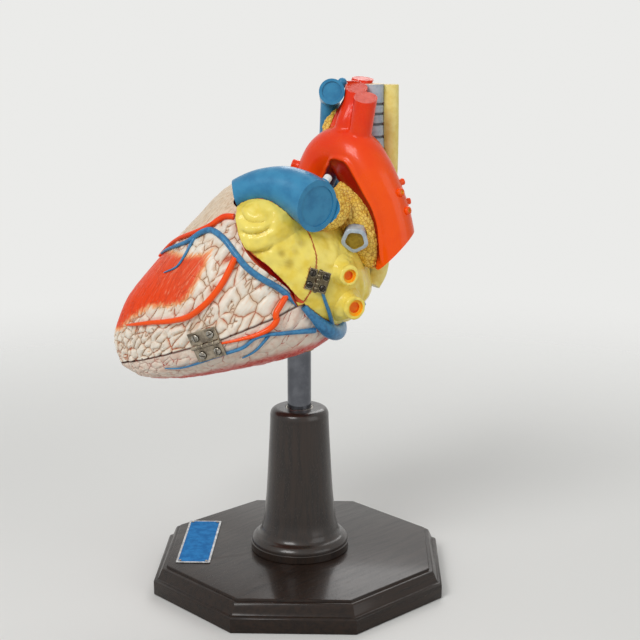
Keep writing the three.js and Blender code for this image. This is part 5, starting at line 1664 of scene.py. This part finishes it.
door = cut(trimmed(atria_body, door_region), left_atrium_cavity, trunk_room, lid_room, *hinge_spaces)
finish("auricle_door", door, "atrial_door", "atrium", "left_atrium_door", atrium_relief, atrium_paint)
disc_space = recess(disc_centre, disc_normal, disc_radius, disc_recess, vein_paint)
door_trunk = cut(trimmed(trunk, door_region), trunk_lumen, lid_room, aorta_room, disc_space)
finish("trunk", door_trunk, "atrial_door", "vein", "pulmonary_trunk")
collar = turned([(0, 0), (8.5, 0), (7.2, 4), (5.9, 8), (5.2, 12), (5.0, ligament_collar_end - 0.6),
                 (4.5, ligament_collar_end), (0, ligament_collar_end)],
                ligament_root, ligament_tip - ligament_root, vein_paint, 48)
door_ligament = cut(joined(ligament_body, collar), trunk_room, aorta_room)
finish("arterial_ligament", door_ligament, "atrial_door", "ligament", "ligament_stub")
oblique_vein = relief_vessel(surface_of(atria_body), *oblique_route, paints["small_vein"])
fixed("oblique_vein", cut(oblique_vein, door_swing, heel_room, rear_room, *hinge_spaces), "vein")


grain_height = 2.4
grain_level = 0.8


def lymph_relief(mesh, points, normals):
    """Grains that stand out from one another."""
    height = measured(mesh, lambda g: grains(g)[0])
    return (height - grain_level) * grain_height


front_nodes = ellipsoid(vec(60, -44, 76), vec(27, 27, 25), paints["lymph"], 150)
before_disc = rod(trunk_radii[-1] + 1, disc_centre - unit(disc_normal) * 0.6,
                  disc_centre + unit(disc_normal) * 40, vein_paint, 72)
front_nodes = cut(trimmed(front_nodes, door_region), trunk_room, before_disc, atria_body, aorta_room,
                  ligament_room)
finish("front_lymph_nodes", front_nodes, "atrial_door", "lymph", "lymph_nodes_front", lymph_relief)

fixed("aorta", cut(aorta, lid_room, aorta_lumen), "artery", "aortic_arch", arch_relief, artery_paint)
disc = recess(brachial_end, brachial_direction, brachial_recess_radius, disc_recess, vein_paint)
fixed("cava", cut(cava_body, aorta_room, right_artery_room, trachea_room, fixed_atria, disc), "vein",
      "superior_vena_cava")
fixed("lower_cava", cut(lower_cava, fixed_atria, *right_vein_rooms), "vein", "inferior_vena_cava")
fixed("right_artery", cut(right_artery_body, aorta_room, door_swing, heel_room), "vein",
      "right_pulmonary_artery")
for k, body in enumerate(right_vein_bodies):
    number = str(k + 1)
    fixed("right_vein_" + number, cut(body, right_atrium_cavity), "atrium", "right_pulmonary_vein_" + number)
fixed("windpipe", cut(trachea_body, aorta_room), "airway", "trachea", airway_relief, airway_paint)
left_end = left_bronchus[0][-1]
left_way = unit(left_end - left_bronchus[0][-2])
five_corners = (5, 0.05, 0.3)
bronchus_hollow = tube([*left_bronchus[0], left_end + left_way * 12], [bronchus_recess_radius] * 5,
                       paints["airway_end"], 1.5, 60, corners=five_corners)
bronchus_hollow = trimmed(bronchus_hollow, beyond(left_way, left_end @ left_way - 2.5, paints["airway_end"]))
left_bronchus_body = softened(tube(*left_bronchus, airway_paint, 1.5, 60, corners=five_corners), 1.2)
bronchus_tools = [repainted(room, airway_paint) for room in (aorta_room, heel_room, door_swing)]
bronchus_tools += [right_artery_room, trachea_room, fixed_atria, bronchus_hollow]
fixed("bronchus_left", cut(left_bronchus_body, *bronchus_tools), "airway", "left_bronchus")
bronchus_tools = [aorta_room, trachea_room, left_bronchus_room, right_artery_room, cava_room]
fixed("bronchus_right", cut(right_bronchus_body, *bronchus_tools), "airway", "right_bronchus")
gullet_tools = [aorta_room, trachea_room, left_bronchus_room, right_bronchus_room, fixed_atria]
fixed("gullet", cut(gullet_body, *gullet_tools, *right_vein_rooms), "gullet", "oesophagus")
node_tools = [aorta_room, trachea_room, left_bronchus_room, right_artery_room, cava_room, gullet_room,
              door_swing, heel_room, fixed_atria]
arch_nodes = ellipsoid(vec(84, -26, 44), vec(20, 21, 48), paints["lymph"], 170)
upper_nodes = ellipsoid(upright(52, 20, 164), vec(28, 13, 26), paints["lymph"], 150)
fixed("arch_lymph_nodes", cut(arch_nodes, *node_tools), "lymph", "lymph_nodes_arch", lymph_relief)
fixed("upper_lymph_nodes", cut(upper_nodes, *node_tools), "lymph", "lymph_nodes_trachea", lymph_relief)


# Valves

def valve(centre, direction, radius, depth, opening, cusps):
    """A ring in the orifice, and cusps that hang from it and part in the middle."""
    axis = unit(direction)
    side = unit(np.cross(axis, np.eye(3)[np.argmin(np.abs(axis))]))
    angle = 2 * np.pi * np.arange(144) / 144
    leaf_thickness_at_edge, ring_half = 0.7, 2.5
    between = np.abs(np.cos(cusps * angle / 2))
    t = np.linspace(0, 1, 14)[:, None]
    hang = depth * (1 - 0.28 * between ** 3)
    inner_top = radius - 2.8
    belly = 0.16 * radius * np.sin(np.pi * t) * (1 - between ** 2)
    outer = (radius - 1.4) * (1 - t) + (opening + leaf_thickness_at_edge) * t + belly
    inner = inner_top * (1 - t) + opening * t + belly
    fall = -ring_half - (hang - ring_half) * t
    lift = ring_half * (1 - t) - hang * t
    ring = np.ones_like(angle)
    radii = np.vstack((radius * ring, (radius - 0.5) * ring, (inner_top + 0.5) * ring, inner,
                       outer[::-1], (radius - 0.4) * ring, radius * ring))
    heights = np.vstack(((ring_half - 0.5) * ring, ring_half * ring, ring_half * ring, lift - 0.4, fall[::-1],
                         -ring_half * ring, (0.5 - ring_half) * ring))
    circle = side * np.cos(angle)[:, None] + np.cross(axis, side) * np.sin(angle)[:, None]
    rings = centre + circle[None] * radii[..., None] + axis * heights[..., None]
    return skin(rings, paints["valve"])


def outlet_valve(route, radii, opening):
    """A valve in the bore of a great vessel, pointing the way of the blood."""
    bore_fit = math.cos(math.pi / 12)
    return valve(route[2], route[1] - route[3], (radii[2] - vessel_wall) * bore_fit - 0.7, 7, opening, 3)


for name, orifice, node in (
        ("valve_mitral", (mitral_centre, groove_normal, mitral_radius, 13, 7, 2), "mitral_valve"),
        ("valve_tricuspid", (tricuspid_centre, groove_normal, tricuspid_radius, 4, 8, 3), "tricuspid_valve")):
    fixed(name, valve(*orifice), "valve", node, crease=60)
fixed("valve_aortic", outlet_valve(aorta_route, aorta_radii, 2.5), "valve", "aortic_valve", crease=60)
finish("valve_pulmonary", outlet_valve(trunk_route, trunk_radii, 2.2), "atrial_door", "valve",
       "pulmonary_valve", crease=60)


# Hinges

for hinge in hinges:
    for side, knuckles, body, part in ((-1, (0, 2, 4), "heart_core", "_fixed_"),
                                       (1, (1, 3), hinge.moves, "_moving_")):
        leaf = softened(hinge.leaf(side, knuckles), 0.22, paints["worn_bronze"])
        finish(hinge.name + part + "plate", leaf, body, "hinge_metal", hinge.name + part + "leaf")
        for k, place in enumerate(hinge.screw_places(side)):
            number = str(k + 1)
            head = softened(hinge.screw(place, 0.6 + 1.7 * k + side), 0.1)
            finish(hinge.name + part + "round_screw_" + number, head, body, "steel",
                   hinge.name + part + "screw_" + number)
    fixed(hinge.name + "_peg", hinge.pin(), "hinge_metal", hinge.name + "_pin")


# Rod and stand

pedestal_bottom = base_height + gap
socket_floor = pedestal_top - pedestal_socket_depth
bore = rod_radius + rod_fit
pin_hole_radius = 0.95
pin_hole_low, pin_hole_high = 23, 36


def stands(name, solid, slot, node, body="stand"):
    """A piece shaped in the frame of the stand."""
    finish(name, solid, body, slot, node, crease=30.0, move=as_stood)


def upright_rod(radius, start, end, paint, x=0.0, y=0.0, segments=48):
    """A rod that stands from one height to another."""
    return rod(radius, vec(x, y, start), vec(x, y, end), paint, segments)


def rounded_slab(size, corner, low, high, edge, paint):
    """A flat plate with round corners and softened edges, in the place of the nameplate."""
    quarter = np.linspace(0, np.pi / 2, 9)
    arc = np.column_stack((np.cos(quarter), np.sin(quarter)))
    rings = []
    for height, inset in ((low, edge), (low + edge, 0), (high - edge, 0), (high, edge)):
        outline = []
        for k, (i, j) in enumerate(((1, 1), (-1, 1), (-1, -1), (1, -1))):
            turn = np.array([[math.cos(k * math.pi / 2), -math.sin(k * math.pi / 2)],
                             [math.sin(k * math.pi / 2), math.cos(k * math.pi / 2)]])
            centre = np.array((i * (size[0] / 2 - corner), j * (size[1] / 2 - corner)))
            outline.extend(centre + (corner - inset) * (arc @ turn.T))
        rings.append([vec(x, y, height) for x, y in outline])
    solid = skin(rings, paint, vec(0, 0, low), vec(0, 0, high))
    solid.data.transform(Matrix.Translation((*nameplate_place, 0)) @ Matrix.Rotation(nameplate_turn, 4, "Z"))
    return solid


def base_outline():
    """The octagon's profile: an edge, a moulding that rises in a wave, and the top."""
    radius = base_across_flats / 2 / math.cos(math.pi / 8)
    rise = base_height - base_edge_height
    outline = [(0, 0), (radius - 1, 0), (radius, 1), (radius, base_edge_height - 0.8),
               (radius - 0.7, base_edge_height)]
    for t in np.linspace(0, 1, 25):
        wave = t - math.sin(2 * math.pi * t) / (2 * math.pi)
        inset = base_moulding_width * (0.15 + 0.7 * t)
        outline.append((radius - inset, base_edge_height + rise * (0.06 + 0.78 * wave)))
    top = radius - base_moulding_width
    return [*outline, (top, base_height - 0.16 * rise), (top, base_height - 0.7), (top - 0.7, base_height),
            (0, base_height)]


def pedestal_outline():
    """The foot's ring, the hollow above it, and the column up to its rounded top."""
    foot = pedestal_foot_radius
    sweep = [(foot - 0.5, 9.2), (foot - 1.0, 12), (foot - 4, 15.6), (foot - 8.3, 18), (foot - 10.6, 21.5),
             (foot - 11.9, 26), (foot - 13.8, 34), (foot - 15.4, 48), (foot - 17, 64)]
    crown = [(1, 12), (0.9, 7), (-0.6, 3), (-3.2, 0.9), (-5.5, 0.1)]
    column = [(r, pedestal_bottom + h) for r, h in sweep]
    column += [(pedestal_top_radius + r, pedestal_top - drop) for r, drop in crown]
    smooth = through([(r, h, 0) for r, h in column], 6)[0][:, :2]
    return [(0, pedestal_bottom), (foot - 0.5, pedestal_bottom), (foot, pedestal_bottom + 0.5),
            (foot, pedestal_bottom + 7.6), (foot - 0.9, pedestal_bottom + 8.4), *smooth,
            (pedestal_top_radius - 6.5, pedestal_top), (0, pedestal_top)]


foot_screws = [vec(math.cos(a), math.sin(a), 0) * foot_screw_circle_radius
               for a in (math.pi / 2 + 2 * math.pi * k / 3 for k in range(3))]
nameplate_pins = []
for i, j in ((-1, -1), (1, -1), (1, 1), (-1, 1)):
    x, y = i * (nameplate_width / 2 - nameplate_pin_inset), j * (nameplate_length / 2 - nameplate_pin_inset)
    c, s = math.cos(nameplate_turn), math.sin(nameplate_turn)
    nameplate_pins.append(vec(x * c - y * s + nameplate_place[0], x * s + y * c + nameplate_place[1], 0))


def pin_holes(paint):
    """The holes of the nameplate's pins."""
    return [upright_rod(pin_hole_radius, pin_hole_low, pin_hole_high, paint, *place[:2], 24)
            for place in nameplate_pins]


base_wood, turned_wood = paints["base_wood"], paints["turned_wood"]
base = turned(base_outline(), origin, up, base_wood, 8)
base.data.transform(Matrix.Rotation(base_turn + math.pi / 8, 4, "Z"))
screw_rooms = []
for place in foot_screws:
    for radius, top in ((foot_screw_radius, 60), (foot_screw_head_radius, foot_screw_seat)):
        screw_rooms.append(upright_rod(radius + seat_gap, -1, top, base_wood, *place[:2]))
base = cut(softened(base, 0.6), *screw_rooms, *pin_holes(base_wood))
stands("octagonal_base", base, "wood", "base_plate")

bushing_start = pedestal_top - bushing_length
bushing_room = upright_rod(bore + bushing_wall + seat_gap, bushing_start - seat_gap, pedestal_top + 5,
                           turned_wood)
screw_holes = [upright_rod(foot_screw_radius + seat_gap, base_height - 1, foot_screw_top + 1, turned_wood,
                           *place[:2]) for place in foot_screws]
pedestal = cut(turned(pedestal_outline(), origin, up, turned_wood, 144), bushing_room,
               upright_rod(bore, socket_floor, pedestal_top, turned_wood), *screw_holes)
stands("turned_pedestal", pedestal, "wood", "pedestal")

outer = bore + bushing_wall
bushing = turned([(bore, bushing_start), (outer, bushing_start), (outer, pedestal_top - 0.4),
                  (outer - 0.4, pedestal_top), (bore + 0.5, pedestal_top), (bore, pedestal_top - 0.5)],
                 origin, up, paints["plain_steel"], 72)
stands("rod_bushing", bushing, "steel", "pedestal_bushing")

thread = []
for height in np.arange(36, 54, 1.6):
    thread += [(foot_screw_radius, height), (foot_screw_radius - 0.45, height + 0.8)]
for k, place in enumerate(foot_screws):
    number, neck = str(k + 1), foot_screw_seat - seat_gap
    outline = [(0, 2), (foot_screw_head_radius - 0.8, 2), (foot_screw_head_radius, 2.8),
               (foot_screw_head_radius, neck), (foot_screw_radius, neck), *thread,
               (foot_screw_radius - 1.6, foot_screw_top - 0.4), (0, foot_screw_top)]
    slot = block(vec(place[0], place[1], 2), np.eye(3), (12, 1.4, 2.6), paints["slot_dirt"])
    screw = cut(turned(outline, place, up, paints["plain_steel"], 40), slot)
    stands("base_screw_" + number, screw, "steel", "foot_screw_" + number)

plate_low, plate_high = base_height + seat_gap, base_height + seat_gap + nameplate_thickness
field = rounded_slab((nameplate_width - 4.4, nameplate_length - 4.4), 2.2, plate_high - 0.22, plate_high + 2,
                     0.05, paints["enamel"])
nameplate = rounded_slab((nameplate_width, nameplate_length), 1.6, plate_low, plate_high, 0.18,
                         paints["bare_silver"])
nameplate = cut(nameplate, field, *pin_holes(paints["bare_silver"]))
stands("bare_nameplate", nameplate, "nameplate", "nameplate")
for k, place in enumerate(nameplate_pins):
    number, seat = str(k + 1), plate_high + seat_gap
    outline = [(0, base_height - 7), (0.3, base_height - 7), (0.7, base_height - 6), (0.7, seat),
               (nameplate_pin_radius, seat), (nameplate_pin_radius, seat + 0.15), (1.35, seat + 0.45),
               (0.8, seat + 0.7), (0, seat + 0.8)]
    pin = turned(outline, place, up, paints["plain_steel"], 32)
    stands("plate_pin_" + number, pin, "steel", "nameplate_pin_" + number)

rod_low, rod_high = socket_floor + gap, heart_z + rod_top
chrome_rod = turned([(0, rod_low), (rod_radius - 0.8, rod_low), (rod_radius, rod_low + 0.8),
                     (rod_radius, rod_high - 0.8), (rod_radius - 0.8, rod_high), (0, rod_high)],
                    origin, up, paints["chrome"], 96)
stands("chromed_rod", chrome_rod, "chrome", "support_rod", "heart_core")
socket = turned([(0, socket_top), (socket_radius - 0.6, socket_top), (socket_radius, socket_top - 0.6),
                 (socket_radius, socket_bottom + 0.8), (socket_radius - 0.8, socket_bottom),
                 (bore + 0.5, socket_bottom), (bore, socket_bottom + 0.5), (bore, rod_top + seat_gap),
                 (0, rod_top + seat_gap)], origin, plumb, paints["dull_brass"], 96)
fixed("brass_socket", socket, "brass", "rod_socket")


# Camera, light and floor

# Each lamp's place and size in metres, and its power in watts
lamps = {
    "key": ((-1.1, -1.6, 1.9), 1.1, 34),
    "fill": ((1.9, -1.3, 1.0), 1.6, 10),
    "rim": ((0.4, 1.6, 1.6), 1.2, 14),
}
lamp_aim = Vector((0, 0, 0.3))
floor_reach = 6.0
camera_place = (0, -1.4226, 0.6231)
camera_pitch, camera_yaw = 13.33, -0.89
lens, sensor_width = 77.85, 36


def lay_floor():
    """A pale floor, which takes the shadow and fades out far from the object."""
    floor = bpy.data.meshes.new("floor")
    r = floor_reach
    floor.from_pydata([(-r, -r, 0), (r, -r, 0), (r, r, 0), (-r, r, 0)], [], [(0, 1, 2, 3)])
    ground = shown("floor", floor)
    plain = bpy.data.materials.new("floor_paint")
    plain.use_nodes = True
    g = Graph(plain.node_tree)
    paint = plain.node_tree.nodes["Principled BSDF"]
    paint.inputs["Base Color"].default_value = srgb(226, 226, 224)
    paint.inputs["Roughness"].default_value = 0.7
    paint.inputs["Specular IOR Level"].default_value = 0.15
    away = g.math("MULTIPLY", g.vector("LENGTH", g.spot()), 0.01)
    clear = g.node("ShaderNodeBsdfTransparent").outputs[0]
    mixed = g.node("ShaderNodeMixShader", None, {0: g.ramp(away, 0.45, 1.5), 1: paint.outputs[0], 2: clear})
    g.put(plain.node_tree.nodes["Material Output"].inputs["Surface"], mixed.outputs[0])
    floor.materials.append(plain)


def light_studio():
    """A pale world that metal mirrors, and three square lamps."""
    world = bpy.data.worlds.new("studio")
    bpy.context.scene.world = world
    world.use_nodes = True
    g = Graph(world.node_tree)
    background = world.node_tree.nodes["Background"]
    background.inputs["Color"].default_value = srgb(238, 238, 236)
    ray = g.node("ShaderNodeLightPath").outputs
    mirrored = g.math("MAXIMUM", ray["Is Glossy Ray"], ray["Is Transmission Ray"])
    seen = g.math("MAXIMUM", ray["Is Camera Ray"], mirrored)
    g.put(background.inputs["Strength"], g.math("ADD", 0.42, g.math("MULTIPLY", seen, 0.55)))
    for name, (place, size, power) in lamps.items():
        lamp = bpy.data.lights.new(name, "AREA")
        lamp.energy, lamp.size = power, size
        holder = shown(name, lamp)
        holder.location = place
        holder.rotation_euler = (lamp_aim - Vector(place)).to_track_quat("-Z", "Y").to_euler()


def set_camera():
    """The camera that took the photograph."""
    eye = bpy.data.cameras.new("camera")
    eye.lens, eye.sensor_width = lens, sensor_width
    eye.clip_start, eye.clip_end = 0.05, 50
    camera = shown("camera", eye)
    camera.location = camera_place
    camera.rotation_euler = (math.pi / 2 - math.radians(camera_pitch), 0, math.radians(camera_yaw))
    bpy.context.scene.camera = camera
    bpy.context.scene.view_settings.view_transform = "Standard"


lay_floor()
light_studio()
set_camera()
for solid in list(workshop.objects):
    bpy.data.objects.remove(solid)
bpy.data.collections.remove(workshop)
